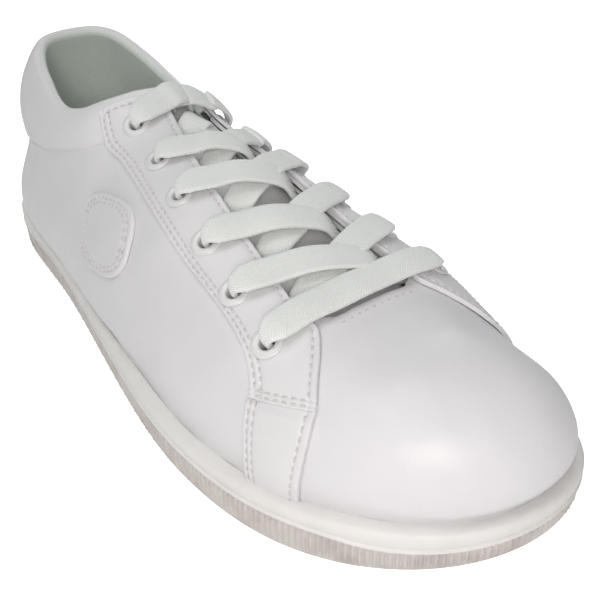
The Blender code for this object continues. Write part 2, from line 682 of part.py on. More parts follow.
def build_eyestay(side):
    """Band from the collar to the front edge, between its outer edge and the throat."""
    edge = STAY_OUTER[side]
    outer = [(88.8, edge[0][1] + 0.002)] + edge[1:] + [STAY_OUTER_END]
    inner = [(along, float(throat_climb(along, side))) for along in STAY_INNER_ALONG]
    corner = STAY_CORNER_CLIMB if side < 0 else float(throat_climb(STAY_CORNER_ALONG, side))
    inner += [(STAY_CORNER_ALONG, corner)] + STAY_FRONT
    return band("eyestay_" + SIDES[side], surface_path(outer, 19), surface_path(inner, 19), 5,
                side, OVERLAY, LEATHER)


def build_backer(side):
    """Reinforcement under the eyestay."""
    start, margin, count = 110.5, 0.012, 13
    edge = STAY_OUTER[side]
    outer = [(start, edge[2][1] + margin)] + [(along, climb + margin) for along, climb in edge[3:9]]
    along = np.linspace(start, 202.0, count)
    inner = np.column_stack([along, throat_climb(along, side, 1.0)])
    layer = (MIDDLE[0] - 0.25, MIDDLE[1] - 0.35)
    return band("eyestay_backer_" + SIDES[side], surface_path(outer, count), inner, 4, side,
                layer, TEXTILE)


def build_saddle(side):
    """Overlay from the eyestay's lower edge down to the sole."""
    band("saddle_" + SIDES[side], surface_path(SADDLE_REAR, 7), surface_path(SADDLE_FRONT, 7), 4,
         side, OVERLAY, LEATHER)


def build_hole_cutter(side):
    """Hidden cylinders that cut one row's eyelet holes."""
    bm = bmesh.new()
    for number in range(1, EYELETS + 1):
        centre, normal = near_ridge(*eyelet_at(side, number))
        cone = bmesh.ops.create_cone(bm, cap_ends=True, segments=10, radius1=HOLE_RADIUS * MM,
                                     radius2=HOLE_RADIUS * MM, depth=14 * MM)
        turned = Vector(normal).to_track_quat("Z", "Y")
        for vert in cone["verts"]:
            vert.co = turned @ vert.co + Vector(centre) * MM
    mesh = bpy.data.meshes.new("cut_" + SIDES[side])
    bm.to_mesh(mesh)
    bm.free()
    cutter = bpy.data.objects.new("eyelet_holes_" + SIDES[side], mesh)
    bpy.context.scene.collection.objects.link(cutter)
    cutter.hide_render = True
    cutter.display_type = "WIRE"
    return cutter


def build_side(side):
    punched = [build_quarter(side), build_eyestay(side), build_backer(side)]
    build_quarter_lining(side)
    build_saddle(side)
    cutter = build_hole_cutter(side)
    for piece in punched:
        holes = piece.modifiers.new("holes", "BOOLEAN")
        holes.operation = "DIFFERENCE"
        holes.object = cutter
        holes.solver = "EXACT"


# ---------------------------------------------------------------- heel and collar
COUNTER_TOP_Z = 40.0
COLLAR_COLUMNS = 25
COLLAR_PUFF = 2.4                            # how far the padding swells outwards
COLLAR_PARTS = np.linspace(0, 1, 6)[:, None]   # from the collar's seam (0) to its top line (1)


def heel_turns(end, count):
    """turn from the inner side at end round the heel to the outer side, closer at the back."""
    inner = float(turn_at(end, 1.0)) - 1.0
    outer = float(turn_at(end, -1.0))
    part = np.linspace(-1, 1, count)
    part = 0.6 * part + 0.4 * part ** 3
    return np.where(part < 0, -inner * part, outer * part)


def collar_turns(end, shortening):
    """Rows of turn up the collar, whose ends move back by shortening at the top."""
    return np.array([heel_turns(end - shortening * part, COLLAR_COLUMNS)
                     for part in COLLAR_PARTS[:, 0]])


def collar_climbs(turns, seam_lift):
    """climb up the collar, with its seam edge raised by seam_lift."""
    along = foot_along(turns)
    z = (by_side(turns, collar_seam_z, along) * (1 - COLLAR_PARTS)
         + by_side(turns, topline_z, along) * COLLAR_PARTS)
    return climb_at_z(turns, z + seam_lift * (1 - COLLAR_PARTS))


def collar_dip(part):
    """How far the padding pushes the lining inwards."""
    ease = np.clip(part / 0.25 + 1, 0, 1)
    return (1.5 * ease * ease * (3 - 2 * ease)
            + 1.2 * np.sin(np.pi * np.clip(part, 0, 1)) ** 0.8)


def build_heel_counter():
    turns = heel_turns(76.0, 23)
    climbs = wall_rows(turns, climb_at_z(turns, COUNTER_TOP_Z), 6)
    sheet("heel_counter", turns, climbs, MIDDLE, BOARD)


def build_collar():
    """Padded collar: leather cover and the foam inside it."""
    puff = COLLAR_PUFF * np.sin(np.pi * (COLLAR_PARTS * 0.93 + 0.07)) ** 0.8
    turns = collar_turns(93.4, 9.4)
    sheet("collar_cover", turns, collar_climbs(turns, 0.6), (puff, OUTER[1] + puff), LEATHER)
    inside = LINING[1] + 0.5 - collar_dip(COLLAR_PARTS)
    sheet("collar_foam", turns, collar_climbs(turns, 1.4), (inside, OUTER[0] + puff), FOAM)


def build_heel_lining():
    """Lining from the sole to the collar's top line."""
    rows = 6
    low = heel_turns(97.2, COLLAR_COLUMNS)
    high = collar_turns(92.6, 8.6)
    turns = np.vstack([[low] * rows, high])
    climbs = np.vstack([wall_rows(low, climb_at_z(low, COUNTER_TOP_Z), rows),
                        collar_climbs(high, 0.0)])
    dip = collar_dip(np.vstack([np.full((rows, 1), -1.0), COLLAR_PARTS]))
    sheet("heel_lining", turns, climbs, (LINING[0] - dip, LINING[1] - dip), TEXTILE)


def build_back_stay():
    """Strip up the heel's back, starting above the lip."""
    half_turn = 0.0135
    turns = np.linspace(half_turn, -half_turn, 5)
    climbs = wall_rows(turns, climb_at_z(turns, 46.8), 8)[[2, 3, 4, 5, 7]]
    sheet("back_stay", turns, climbs, (1.4, 2.1), LEATHER)


# ---------------------------------------------------------------- mark on the outer side
EMBLEM_ALONG, EMBLEM_Z = 118.0, 45.0
EMBLEM_HALF_LENGTH, EMBLEM_HALF_HEIGHT = 19.0, 11.0
EMBLEM_LEAN, EMBLEM_TILT = -4.0, 3.0   # shear of along with height, and of height with along
EMBLEM_POINTS = 24


def build_emblem():
    """Plain raised mark: a leaning squared oval, as two rings and a centre on each face."""
    angles = np.linspace(0, 2 * np.pi, EMBLEM_POINTS + 1)[:-1]
    ahead, up = (np.sign(wave) * np.abs(wave) ** 0.75 for wave in (np.cos(angles), np.sin(angles)))
    scales = np.array([1.0, 0.55, 0.0001])[:, None]
    turns = turn_at(EMBLEM_ALONG + scales * (EMBLEM_HALF_LENGTH * ahead + EMBLEM_LEAN * up), -1.0)
    climbs = climb_at_z(turns, EMBLEM_Z + scales * (EMBLEM_HALF_HEIGHT * up + EMBLEM_TILT * ahead))
    points = []
    for offset in (2.4, 1.4):
        rim, middle, centre = surface(turns, climbs, offset)[0]
        points += [rim, middle, centre.mean(0)[None]]
    count = EMBLEM_POINTS
    under = 2 * count + 1   # first point of the under face
    faces = []
    for i in range(count):
        j = (i + 1) % count
        faces += [
            (i, j, count + j, count + i),
            (count + i, count + j, 2 * count),
            (under + j, under + i, under + count + i, under + count + j),
            (under + count + j, under + count + i, under + 2 * count),
            (j, i, under + i, under + j),
        ]
    add("side_emblem", (np.concatenate(points), faces), LEATHER)


# ---------------------------------------------------------------- tongue
TONGUE_LAYERS = {   # inner offset, outer offset, material
    "tongue_outer": (-5.9, -4.9, LEATHER),
    "tongue_foam": (-8.5, -6.2, FOAM),
    "tongue_lining": (-9.6, -8.8, TEXTILE),
}
TONGUE_OVERLAP = 8.0   # how far it reaches under each edge of the throat


def build_tongue():
    along = np.linspace(94.5, 211.5, 14)[:, None]
    taper = 1 - 0.35 * np.clip((along - 200) / 12, 0, 1)
    outer = (throat[-1](along) + TONGUE_OVERLAP) * taper
    inner = (throat[1](along) + TONGUE_OVERLAP) * taper
    gap = -outer + (outer + inner) * np.linspace(0, 1, 7)
    for name, (low, high, mat) in TONGUE_LAYERS.items():
        skins = (near_ridge(along, gap, offset)[0] for offset in (low, high))
        add(name, plain_skins(*skins), mat, TONGUE)


# ---------------------------------------------------------------- eyelets
EYELET_SEGMENTS = 9
# section of the flanged ring, as (radius, offset)
EYELET_PROFILE = [(2.4, -2.1), (2.9, -2.1), (2.9, 3.15), (4.7, 3.15), (4.4, 3.8), (2.4, 3.7)]


def build_eyelet(side, number):
    centre, normal = near_ridge(*eyelet_at(side, number))
    turned = Vector(normal).to_track_quat("Z", "Y")
    loops = []
    for i in range(EYELET_SEGMENTS):
        angle = 2 * np.pi * i / EYELET_SEGMENTS
        loops.append([np.array(turned @ Vector((r * math.cos(angle), r * math.sin(angle), z)))
                      + centre for r, z in EYELET_PROFILE])
    add(f"eyelet_{SIDES[side]}_{number}", loft(loops, "joined"), METAL)


# ---------------------------------------------------------------- lace
# One flat criss-cross strand. Its control rows are (gap, offset, width, thickness).
FLAT = (9.2, 1.2)      # width and thickness where it lies flat
HOLE = (3.2, 2.0)      # folded to this where it passes an eyelet
THICK = FLAT[1]
FLAT_MIN_WIDTH = 6.9   # rows wider than this give the strand's direction
THROAT_LEAD = 4.5      # how far behind a crossing the throat's width is read
TUCK_ALONG = 98.6      # where both ends are tucked in


def run_along(start, end):
    """Function from gap to along on the straight run between two (along, gap) places."""
    return lambda gap: start[0] + (end[0] - start[0]) * (gap - start[1]) / (end[1] - start[1])


def place_rows(start, end, rows):
    """Control points (along, gap, offset, width, thickness) on the run from start to end."""
    along_at = run_along(start, end)
    return [(along_at(row[0]), *row) for row in rows]


def rising_rows(side, number):
    """Rows up through an eyelet and over its own edge of the throat."""
    along, gap = eyelet_at(side, number)
    return [
        (gap, 0.4, *HOLE),
        (gap, 3.9, *HOLE),
        (gap - side * 0.9, 5.6, 4.4, 1.7),
        (gap - side * 3.2, 5.9, 7.0, 1.4),
        (gap - side * 6.5, 5.3, *FLAT),
        (side * float(throat[side](along)), 4.6, *FLAT),
    ]


def over_path(side, number, other=None):
    """Up from an eyelet, across, and under the far edge of the throat to the far side's eyelet
    other, or without other to the tucked end."""
    tucked = other is None
    start = eyelet_at(side, number)
    near = float(throat[side](start[0]))
    if tucked:
        far = float(throat[-side](TUCK_ALONG))
        end = TUCK_ALONG, -side * (far + 1.9)
    else:
        end = eyelet_at(-side, other)
        crossing = run_along(start, end)(-side * float(throat[-side](end[0])))
        far = float(throat[-side](crossing - THROAT_LEAD))
    # strands that start on the outer side cross above the others
    over = 1.0 if side < 0 else 0.0
    low = 0.25 if side > 0 else 0.0
    rows = rising_rows(side, number) + [
        (side * near * 0.45, 3.2 + 1.9 * over, *FLAT),
        (-side * far * 0.1, 1.5 + 2.6 * over, *FLAT),
        (-side * max(far - 7.5, far * 0.3), 0.6 + 1.8 * over, *FLAT),
        (-side * (far - 3.2), -1.6, *FLAT),
    ]
    if tucked:
        rows += [(-side * (far - 0.8), -3.1, 7.6, THICK), (end[1], -4.05, 2.6, 0.8)]
    else:
        rows += [
            (-side * (far - 0.8), -3.6 - low, 8.2, THICK),
            (-side * (far + 2.4), -3.75 - low, 7.2, THICK),
            (end[1] + side * 3.6, -3.75 - low, 5.0, 1.2),
            (end[1] + side * 1.2, -3.5, 3.4, 1.5),
            (end[1], -2.1, *HOLE),
        ]
    return place_rows(start, end, rows)


def under_path(side, number):
    """From below an eyelet, under both edges of the throat, to below the far side's next one
    towards the ankle."""
    start = eyelet_at(side, number)
    end = eyelet_at(-side, number - 1)
    along_at = run_along(start, end)
    near_crossing = along_at(side * float(throat[side](start[0])))
    far_crossing = along_at(-side * float(throat[-side](end[0])))
    near = float(throat[side](near_crossing - THROAT_LEAD))
    far = float(throat[-side](max(far_crossing - THROAT_LEAD, TUCK_ALONG)))
    lift = 0.7 if side < 0 else -0.7
    return place_rows(start, end, [
        (start[1], -2.1, *HOLE),
        (start[1] - side * 1.2, -3.5, 3.4, 1.5),
        (start[1] - side * 3.6, -3.75, 5.4, 1.2),
        (side * (near + 2.4), -3.75, 7.4, THICK),
        (side * (near - 0.8), -3.6, 8.2, THICK),
        (side * (near - 3.6), -2.2, *FLAT),
        (side * (near - far) * 0.5, -0.9 + lift, *FLAT),
        (-side * (far - 3.6), -2.0, *FLAT),
        (-side * (far - 0.8), -3.3, 8.2, THICK),
        (-side * (far + 2.4), -3.5, 7.2, THICK),
        (end[1] + side * 3.6, -3.55, 5.2, 1.2),
        (end[1] + side * 1.2, -3.5, 3.4, 1.5),
        (end[1], -2.1, *HOLE),
    ])


def lace_half(side):
    """From below the toe-end eyelet of a side to the end tucked in at the ankle."""
    points = []
    for number in range(EYELETS, 2, -1):
        points += over_path(-side, number - 1, number)[::-1]
        side = -side
    return points + under_path(side, 2) + over_path(-side, 1)


def toe_bar():
    """The straight run across between the two toe-end eyelets."""
    start, end = eyelet_at(-1, EYELETS), eyelet_at(1, EYELETS)
    middle = [(start[1] + (end[1] - start[1]) * part, 3.1, *FLAT) for part in (0.34, 0.5, 0.66)]
    rows = rising_rows(-1, EYELETS) + middle + rising_rows(1, EYELETS)[::-1]
    return place_rows(start, end, rows)


def without(vectors, direction):
    """vectors less their part along the unit vectors of direction."""
    return vectors - np.sum(vectors * direction, 1)[:, None] * direction


def unit(vectors):
    return vectors / np.linalg.norm(vectors, axis=1)[:, None]


def build_lace():
    controls = np.array(lace_half(-1)[::-1] + toe_bar() + lace_half(1), float)
    along, gap, offset, width, thickness = controls.T
    centres, normals = near_ridge(along, gap, offset)
    places = np.arange(len(centres))
    run = (centres[np.minimum(places + 3, places[-1])] - centres[np.maximum(places - 3, 0)])
    run = without(run, normals)
    length = np.maximum(np.linalg.norm(run, axis=1), 1e-9)
    across = np.cross(normals, run / length[:, None])
    across *= np.where(across[:, 1] < 0, -1.0, 1.0)[:, None]
    # The strand turns back on itself at a hole, so the nearest flat row gives its direction.
    flat = np.flatnonzero(width > FLAT_MIN_WIDTH)
    nearest = flat[np.argmin(np.abs(places[:, None] - flat), axis=1)]
    across = unit(without(across[nearest], normals))

    tangent = unit(np.gradient(centres, axis=0))
    across = unit(without(across, tangent))
    half_width = across * width[:, None] / 2
    half_thick = np.cross(tangent, across) * thickness[:, None] / 2
    loops = np.stack([
        centres - half_width - half_thick, centres + half_width - half_thick,
        centres + half_width + half_thick, centres - half_width + half_thick], 1)
    add("lace", loft(loops, "polygon"), LACE, weld=0.0005)


AGLET_STATIONS = np.array([0.1, 0.6, 3.0, 5.5, 8.0, 8.5])
AGLET_RADII = (0.7, 1.0, 1.0, 1.0, 1.0, 0.7)
AGLET_WIDE, AGLET_THICK = 1.4, 0.5   # flattening of its section


def build_aglet(tag, side):
    """Sheath by a lace end, tucked in behind the eyestay."""
    gap = side * (float(throat[side](TUCK_ALONG)) + 2.2) + side * AGLET_STATIONS
    centres, normals = near_ridge(TUCK_ALONG, gap, -4.1)
    across = np.cross(normals, unit(np.gradient(centres, axis=0)))
    angles = 2 * np.pi * np.arange(8)[:, None] / 8
    loops = [centre + wide * np.cos(angles) * radius * AGLET_WIDE
             + normal * np.sin(angles) * radius * AGLET_THICK
             for centre, wide, normal, radius in zip(centres, across, normals, AGLET_RADII)]
    add("aglet_" + tag, loft(loops, "polygon"), PLASTIC)


# ---------------------------------------------------------------- build
build_sole()
build_toe()
for shoe_side in SIDES:
    build_side(shoe_side)
build_heel_counter()
build_collar()
build_heel_lining()
build_back_stay()
build_emblem()
build_tongue()
for shoe_side in SIDES:
    for eyelet_number in range(1, EYELETS + 1):
        build_eyelet(shoe_side, eyelet_number)
build_lace()
build_aglet("a", -1)
build_aglet("b", 1)
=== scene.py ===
"""A right low-top lace-up trainer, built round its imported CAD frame. Blender 4.5.

The toe points to -Y, the heel to +Y, the outer (lateral) side is -X and the ground is Z = 0.
Shapes are worked out in millimetres and turned into metres when a mesh is made. They use:
  along  distance in front of the heel's back, 0 at the heel and LENGTH at the toe's tip
  turn   place round the sole's outline, 0 to 1, from the heel's back up the outer side
  rise   place up the upper's surface, 0 at the sole to 1 on the ridge
  gap    distance from the ridge seen from above, negative on the outer side
  side   -1 for the outer side, 1 for the inner side
"""
import math

import bmesh
import bpy
import numpy as np
from mathutils import Matrix, Vector


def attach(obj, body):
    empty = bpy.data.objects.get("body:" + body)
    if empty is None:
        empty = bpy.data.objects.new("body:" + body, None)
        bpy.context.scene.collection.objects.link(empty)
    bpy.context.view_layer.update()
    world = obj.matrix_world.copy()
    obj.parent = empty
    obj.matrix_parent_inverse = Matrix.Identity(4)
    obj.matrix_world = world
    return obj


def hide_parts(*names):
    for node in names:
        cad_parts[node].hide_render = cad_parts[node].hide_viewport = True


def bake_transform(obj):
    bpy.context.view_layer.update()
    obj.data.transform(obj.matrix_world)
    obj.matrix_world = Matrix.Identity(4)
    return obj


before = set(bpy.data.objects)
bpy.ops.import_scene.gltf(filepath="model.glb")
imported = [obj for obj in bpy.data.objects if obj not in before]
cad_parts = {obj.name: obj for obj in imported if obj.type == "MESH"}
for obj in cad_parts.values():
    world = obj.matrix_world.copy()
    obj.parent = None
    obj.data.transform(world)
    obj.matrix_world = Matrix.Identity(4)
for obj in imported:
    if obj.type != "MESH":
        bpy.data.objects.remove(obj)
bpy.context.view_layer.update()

# ---------------------------------------------------------------- driving dimensions (mm)
MM = 0.001             # metres in a millimetre
LENGTH = 275.0         # length of the sole
EYELETS = 6            # eyelets in each row, counted from the ankle
FIRST_EYELET, EYELET_PITCH = 103.5, 20.4
THROAT_END = 98.6      # rear end of the throat
EYELET_HOLE = 3.25     # radius of the holes for the eyelets
LACE_WIDTH, LACE_THICK = 9.2, 1.2
HOLE_SECTION = (3.2, 2.0)   # width and thickness of the lace, folded in an eyelet

# (inside, outside) offsets of each layer from the upper's surface
LINING_LAYER = (-3.6, -2.8)
STIFFENER_LAYER = (-1.95, -1.05)
BASE_LAYER = (-0.4, 1.0)
OVERLAY_LAYER = (1.35, 2.65)

# Sole outline from above as (x, along): heel's back, outer side, toe, and the inner side back.
OUTLINE = [
    (0.0, 0.0), (-20.0, 4.5), (-32.5, 19.0), (-37.2, 42.0), (-39.6, 75.0), (-44.2, 110.0),
    (-49.4, 145.0), (-52.6, 175.0), (-52.2, 198.0), (-46.6, 226.0), (-32.4, 252.6),
    (-11.0, 270.5), (13.2, 275.0), (33.9, 265.0), (44.6, 240.0), (50.4, 208.0), (48.6, 178.0),
    (39.9, 145.0), (33.0, 110.0), (33.0, 75.0), (34.6, 42.0), (31.0, 19.0), (19.4, 4.5),
]
OUTLINE_COUNT = 2400


# ---------------------------------------------------------------- small maths
def clamp(x):
    return np.clip(x, 0, 1)


def ease(x):
    """Smooth step from 0 to 1."""
    x = clamp(x)
    return x * x * (3 - 2 * x)


def bell(x, width):
    return np.exp(-(x / width) ** 2)


def quarter_round(x):
    """Quarter circle: 0 at x = 0, level at 1 from x = 1."""
    return np.sqrt(clamp(1 - (1 - clamp(x)) ** 2))


def spread_out(count, crowding):
    """Values from 0 to 1, crowded towards both ends."""
    cosine = 0.5 - 0.5 * np.cos(np.linspace(0, np.pi, count))
    return (1 - crowding) * np.linspace(0, 1, count) + crowding * cosine


def unit(vectors, floor=1e-12):
    return vectors / np.maximum(np.linalg.norm(vectors, axis=-1), floor)[..., None]


def square_to(vectors, axes):
    """The vectors without their part along the unit axes."""
    return vectors - np.sum(vectors * axes, 1)[:, None] * axes


def arc_length(points):
    """Length run along a polyline at each of its points."""
    return np.concatenate([[0], np.cumsum(np.linalg.norm(np.diff(points, axis=0), axis=1))])


def interp_rows(places, knots, rows):
    """Each column of rows, interpolated at the places."""
    return np.stack([np.interp(places, knots, column) for column in rows.T], -1)


def resample(points, count, endpoint=True):
    """count points evenly spaced along a polyline."""
    lengths = arc_length(points)
    return interp_rows(np.linspace(0, lengths[-1], count, endpoint=endpoint), lengths, points)


def closed_spline(points, count):
    """Closed cubic spline through points, as count evenly spaced points."""
    points = np.array(points, float)
    total = len(points)
    spans = np.linalg.norm(np.roll(points, -1, 0) - points, axis=1) ** 0.5
    knots = np.concatenate([[0], np.cumsum(spans)])
    matrix = np.zeros((total, total))
    target = np.zeros(points.shape)
    for i in range(total):
        before, after = spans[i - 1], spans[i]
        follow = (i + 1) % total
        matrix[i, i - 1] += before
        matrix[i, i] += 2 * (before + after)
        matrix[i, follow] += after
        target[i] = 6 * ((points[follow] - points[i]) / after
                         - (points[i] - points[i - 1]) / before)
    bends = np.linalg.solve(matrix, target)
    place = np.linspace(0, knots[-1], 6000, endpoint=False)
    k = np.clip(np.searchsorted(knots, place, side="right") - 1, 0, total - 1)
    follow = (k + 1) % total
    span = spans[k][:, None]
    left = (knots[k + 1] - place)[:, None]
    right = (place - knots[k])[:, None]
    curve = (bends[k] * left ** 3 / (6 * span) + bends[follow] * right ** 3 / (6 * span)
             + (points[k] / span - bends[k] * span / 6) * left
             + (points[follow] / span - bends[follow] * span / 6) * right)
    return resample(np.vstack([curve, curve[:1]]), count, endpoint=False)


def smooth_curve(knots):
    """Smooth function through (x, y) knots, with no overshoot between them."""
    xs, ys = np.array(knots, float).T
    slopes = np.diff(ys) / np.diff(xs)
    tangents = np.zeros(len(xs))
    for i in range(1, len(xs) - 1):
        if slopes[i - 1] * slopes[i] > 0:
            weight_a = 2 * (xs[i + 1] - xs[i]) + (xs[i] - xs[i - 1])
            weight_b = (xs[i + 1] - xs[i]) + 2 * (xs[i] - xs[i - 1])
            tangents[i] = (weight_a + weight_b) / (weight_a / slopes[i - 1]
                                                   + weight_b / slopes[i])

    def value(x):
        x = np.clip(np.asarray(x, float), xs[0], xs[-1])
        k = np.clip(np.searchsorted(xs, x, side="right") - 1, 0, len(xs) - 2)
        span = xs[k + 1] - xs[k]
        f = (x - xs[k]) / span
        return ((2 * f ** 3 - 3 * f ** 2 + 1) * ys[k]
                + (f ** 3 - 2 * f ** 2 + f) * span * tangents[k]
                + (3 * f ** 2 - 2 * f ** 3) * ys[k + 1]
                + (f ** 3 - f ** 2) * span * tangents[k + 1])

    return value


def surface_path(points, count):
    """Catmull-Rom path through (along, rise) points, even along the surface."""
    weights = np.array([1.0, 80.0])   # mm for a unit of each column
    knots = np.array(points, float) * weights
    knots = np.vstack([2 * knots[0] - knots[1], knots, 2 * knots[-1] - knots[-2]])
    curve = []
    f = np.linspace(0, 1, 24, endpoint=False)[:, None]
    for i in range(1, len(knots) - 2):
        a, b, c, d = knots[i - 1:i + 3]
        curve.append(0.5 * (2 * b + (c - a) * f + (2 * a - 5 * b + 4 * c - d) * f ** 2
                            + (3 * b - a - 3 * c + d) * f ** 3))
    curve.append(knots[-2][None])
    return resample(np.vstack(curve), count) / weights


# ---------------------------------------------------------------- the upper's surface
EDGE = closed_spline(OUTLINE, OUTLINE_COUNT)
EDGE_TANGENT = unit(np.roll(EDGE, -1, 0) - np.roll(EDGE, 1, 0))
EDGE_NORMAL = np.stack([-EDGE_TANGENT[:, 1], EDGE_TANGENT[:, 0]], 1)
TIP = int(np.argmax(EDGE[:, 1]))
TIP_TURN = TIP / OUTLINE_COUNT
TURNS = np.arange(OUTLINE_COUNT + 1) / OUTLINE_COUNT

# Curves over along. How far inside the sole's outline the upper starts:
feather_width = smooth_curve([(0, 3.9), (16, 3.0), (30, 2.8), (100, 2.8), (170, 5.0), (275, 5.0)])
# height and x of the upper's top ridge
ridge_z = smooth_curve([
    (0, 99.5), (55, 99.4), (85, 88.5), (108, 75.2), (128, 71.0), (150, 67.8), (170, 61.5),
    (190, 55.9), (205, 52.9), (218, 49.6), (230, 47.8)])
ridge_x = smooth_curve([(0, 0), (60, -0.7), (85, 1.5), (110, 4.1), (150, 2.7), (190, 2.4),
                        (210, 2.9), (230, 4.1)])
# squareness of the upper's section
squareness = smooth_curve([(0, 2.0), (90, 2.02), (130, 2.1), (170, 2.16), (200, 2.36),
                           (230, 2.62), (275, 2.7)])
# heights of the foot of the wall, the lip's top, and the joint of wall and lip
foot_z = smooth_curve([(0, 13.0), (60, 12.6), (130, 11.6), (275, 10)])
lip_z = smooth_curve([(0, 18.2), (60, 15.8), (130, 15.6), (170, 16.2), (214, 16.4),
                      (241, 16.0), (255, 14.6), (268, 12.7), (275, 12.2)])
JOINT_Z = 10.8
joint_z = smooth_curve([(0, JOINT_Z), (232, JOINT_Z), (241, 10.4), (255, 8.0), (268, 6.6),
                        (275, 6.3)])
# swelling of the sides above the lip, waist at the collar's seam, change of squareness
bulge = {
    -1: smooth_curve([(0, 0.4), (60, 4.1), (110, 3.3), (160, 1.0), (215, 0.5), (250, 1.0),
                      (275, 3.2)]),
    1: smooth_curve([(0, 0.4), (60, 4.1), (110, 2.0), (160, 0.5), (215, 0.5), (250, 1.0),
                     (275, 3.2)])}
BULGE_SKEW = 0.56
BULGE_HEIGHT = 28.0
waist = smooth_curve([(0, 3.4), (60, 3.4), (105, 1.0), (140, 0.0), (275, 0.0)])
WAIST_Z, WAIST_SPREAD = 45.0, 13.0
squareness_change = {
    -1: smooth_curve([(150, 0.0), (275, 0.0)]),
    1: smooth_curve([(150, 0.0), (200, 0.29), (240, -0.39), (275, 0.0)])}
RIDGE_START = 40.0   # the sections round the heel meet the ridge from here on
RIDGE_SLOW, RIDGE_SPAN = 205.0, 50.0   # those of the toe crowd together after this

# Lines of the design. Half widths are measured from the ridge.
throat = {
    -1: smooth_curve([(90, 2.5), (98, 3.5), (110, 5.6), (123, 8.4), (152, 13.4), (183, 16.8),
                      (201, 19.4), (212, 21.2)]),
    1: smooth_curve([(90, 9.6), (98, 10.0), (120, 11.8), (160, 14.0), (212, 16.6)])}
eyelet_gap = {
    -1: smooth_curve([(90, 14.9), (103.5, 16.2), (205.5, 31.3), (215, 32.6)]),
    1: smooth_curve([(90, 15.2), (103.5, 15.8), (124, 18.4), (165, 22.8), (205.5, 27.4),
                     (215, 28.0)])}
topline_z = {
    -1: smooth_curve([(4, 85.0), (18, 83.8), (45, 77.2), (68, 71.2), (78, 73.2), (88, 78.4),
                      (96, 82.6)]),
    1: smooth_curve([(4, 85.0), (18, 84.0), (45, 78.6), (68, 73.6), (80, 72.8), (88, 73.8),
                     (96, 75.0)])}
collar_seam_z = {
    -1: smooth_curve([(4, 47.5), (25, 47.8), (46, 50.5), (73, 58.5), (90, 64.0), (99, 67.2)]),
    1: smooth_curve([(4, 47.5), (25, 47.6), (46, 48.2), (73, 50.4), (90, 52.4), (99, 53.6)])}
# seam of vamp and quarters, along over rise
seam_along = smooth_curve([(0.0, 224.5), (0.30, 223.6), (0.47, 221.0), (0.56, 217.0),
                           (0.665, 211.0), (0.735, 207.0), (0.784, 204.0), (1.0, 203.0)])
# borders of the eyestay and saddle as (along, rise)
STAY_OUTER = {
    -1: [(88.8, 0.652), (98.5, 0.602), (110, 0.618), (129, 0.604), (147, 0.580), (160, 0.568),
         (177, 0.572), (190, 0.562), (200.5, 0.522), (207.5, 0.455), (210.7, 0.388)],
    1: [(88.8, 0.602), (98.5, 0.460), (110, 0.430), (129, 0.445), (147, 0.472), (160, 0.492),
        (177, 0.520), (190, 0.530), (200.5, 0.505), (207.5, 0.450), (210.7, 0.388)]}
# the inner border follows the throat at these, then the front
STAY_INNER = (THROAT_END, 110, 123, 137, 152, 167, 183, 195, 205, 211.8)
STAY_CORNER_RISE = 0.784   # its front corner on the outer side
STAY_FRONT = [(217.5, 0.735), (222.5, 0.665), (228.5, 0.545), (230.7, 0.480)]
SADDLE_REAR = [(209.4, 0.420), (210.8, 0.366), (213.6, 0.250), (215.8, 0.120), (216.4, 0.0)]
SADDLE_FRONT = [(230.2, 0.508), (230.9, 0.462), (232.6, 0.300), (232.6, 0.0)]


def per_turn(turn, table):
    """A table round the outline, interpolated at turn."""
    turn = np.asarray(turn, float) % 1.0 * OUTLINE_COUNT
    k = np.floor(turn).astype(int) % OUTLINE_COUNT
    f = (turn - np.floor(turn))[..., None]
    return table[k] * (1 - f) + table[(k + 1) % OUTLINE_COUNT] * f


def outline(turn, offset):
    """(x, along) on the sole's outline moved outwards by offset, and the normal there."""
    point, normal = per_turn(turn, EDGE), per_turn(turn, EDGE_NORMAL)
    return point + normal * np.asarray(offset, float)[..., None], normal


def feather(turn):
    return feather_width(per_turn(turn, EDGE)[..., 1])


def foot(turn):
    """(x, along) of the foot of the wall, and its outward normal."""
    return outline(turn, -feather(turn))


def foot_along(turn):
    return foot(turn)[0][..., 1]


FOOT_ALONG = (np.append(EDGE[:, 1], EDGE[0, 1])
              - feather(TURNS) * np.append(EDGE_NORMAL[:, 1], EDGE_NORMAL[0, 1]))


def toe_spring(along):
    """How far the toe lifts off the ground."""
    start = 188.0
    return 8.5 * np.clip((np.asarray(along, float) - start) / (LENGTH - start), 0, 2) ** 2.8


def by_side(turn, curves, along):
    """A curve that differs between the sides, blended at the heel's back and the toe's tip."""
    blend = 0.02
    from_heel = (np.asarray(turn) + 0.5) % 1.0 - 0.5
    outer = clamp((from_heel / blend + 1) / 2)
    at_toe = clamp(((TIP_TURN - np.asarray(turn) % 1.0) / blend + 1) / 2)
    outer = np.where(np.abs(from_heel) > 0.25, at_toe, outer)
    return curves[1](along) * (1 - outer) + curves[-1](along) * outer


def crest_along(along):
    """Where on the ridge the section ends that starts at along on the foot of the wall."""
    start = 0.5 * (along + RIDGE_START + np.sqrt((along - RIDGE_START) ** 2 + 196.0))
    s = clamp((along - RIDGE_SLOW) / RIDGE_SPAN)
    crowded = RIDGE_SLOW + RIDGE_SPAN * (s - 0.5 * s * s) + (start - along) * (1 - s)
    return np.where(along > RIDGE_SLOW, crowded, start)


def crest(along):
    """(x, along) on the ridge for a section."""
    top = crest_along(along)
    return np.stack([ridge_x(top), top], -1)


def section_power(turn, along):
    """Exponent of the section's two curves."""
    return 2.0 / (squareness(crest_along(along)) + by_side(turn, squareness_change, along))


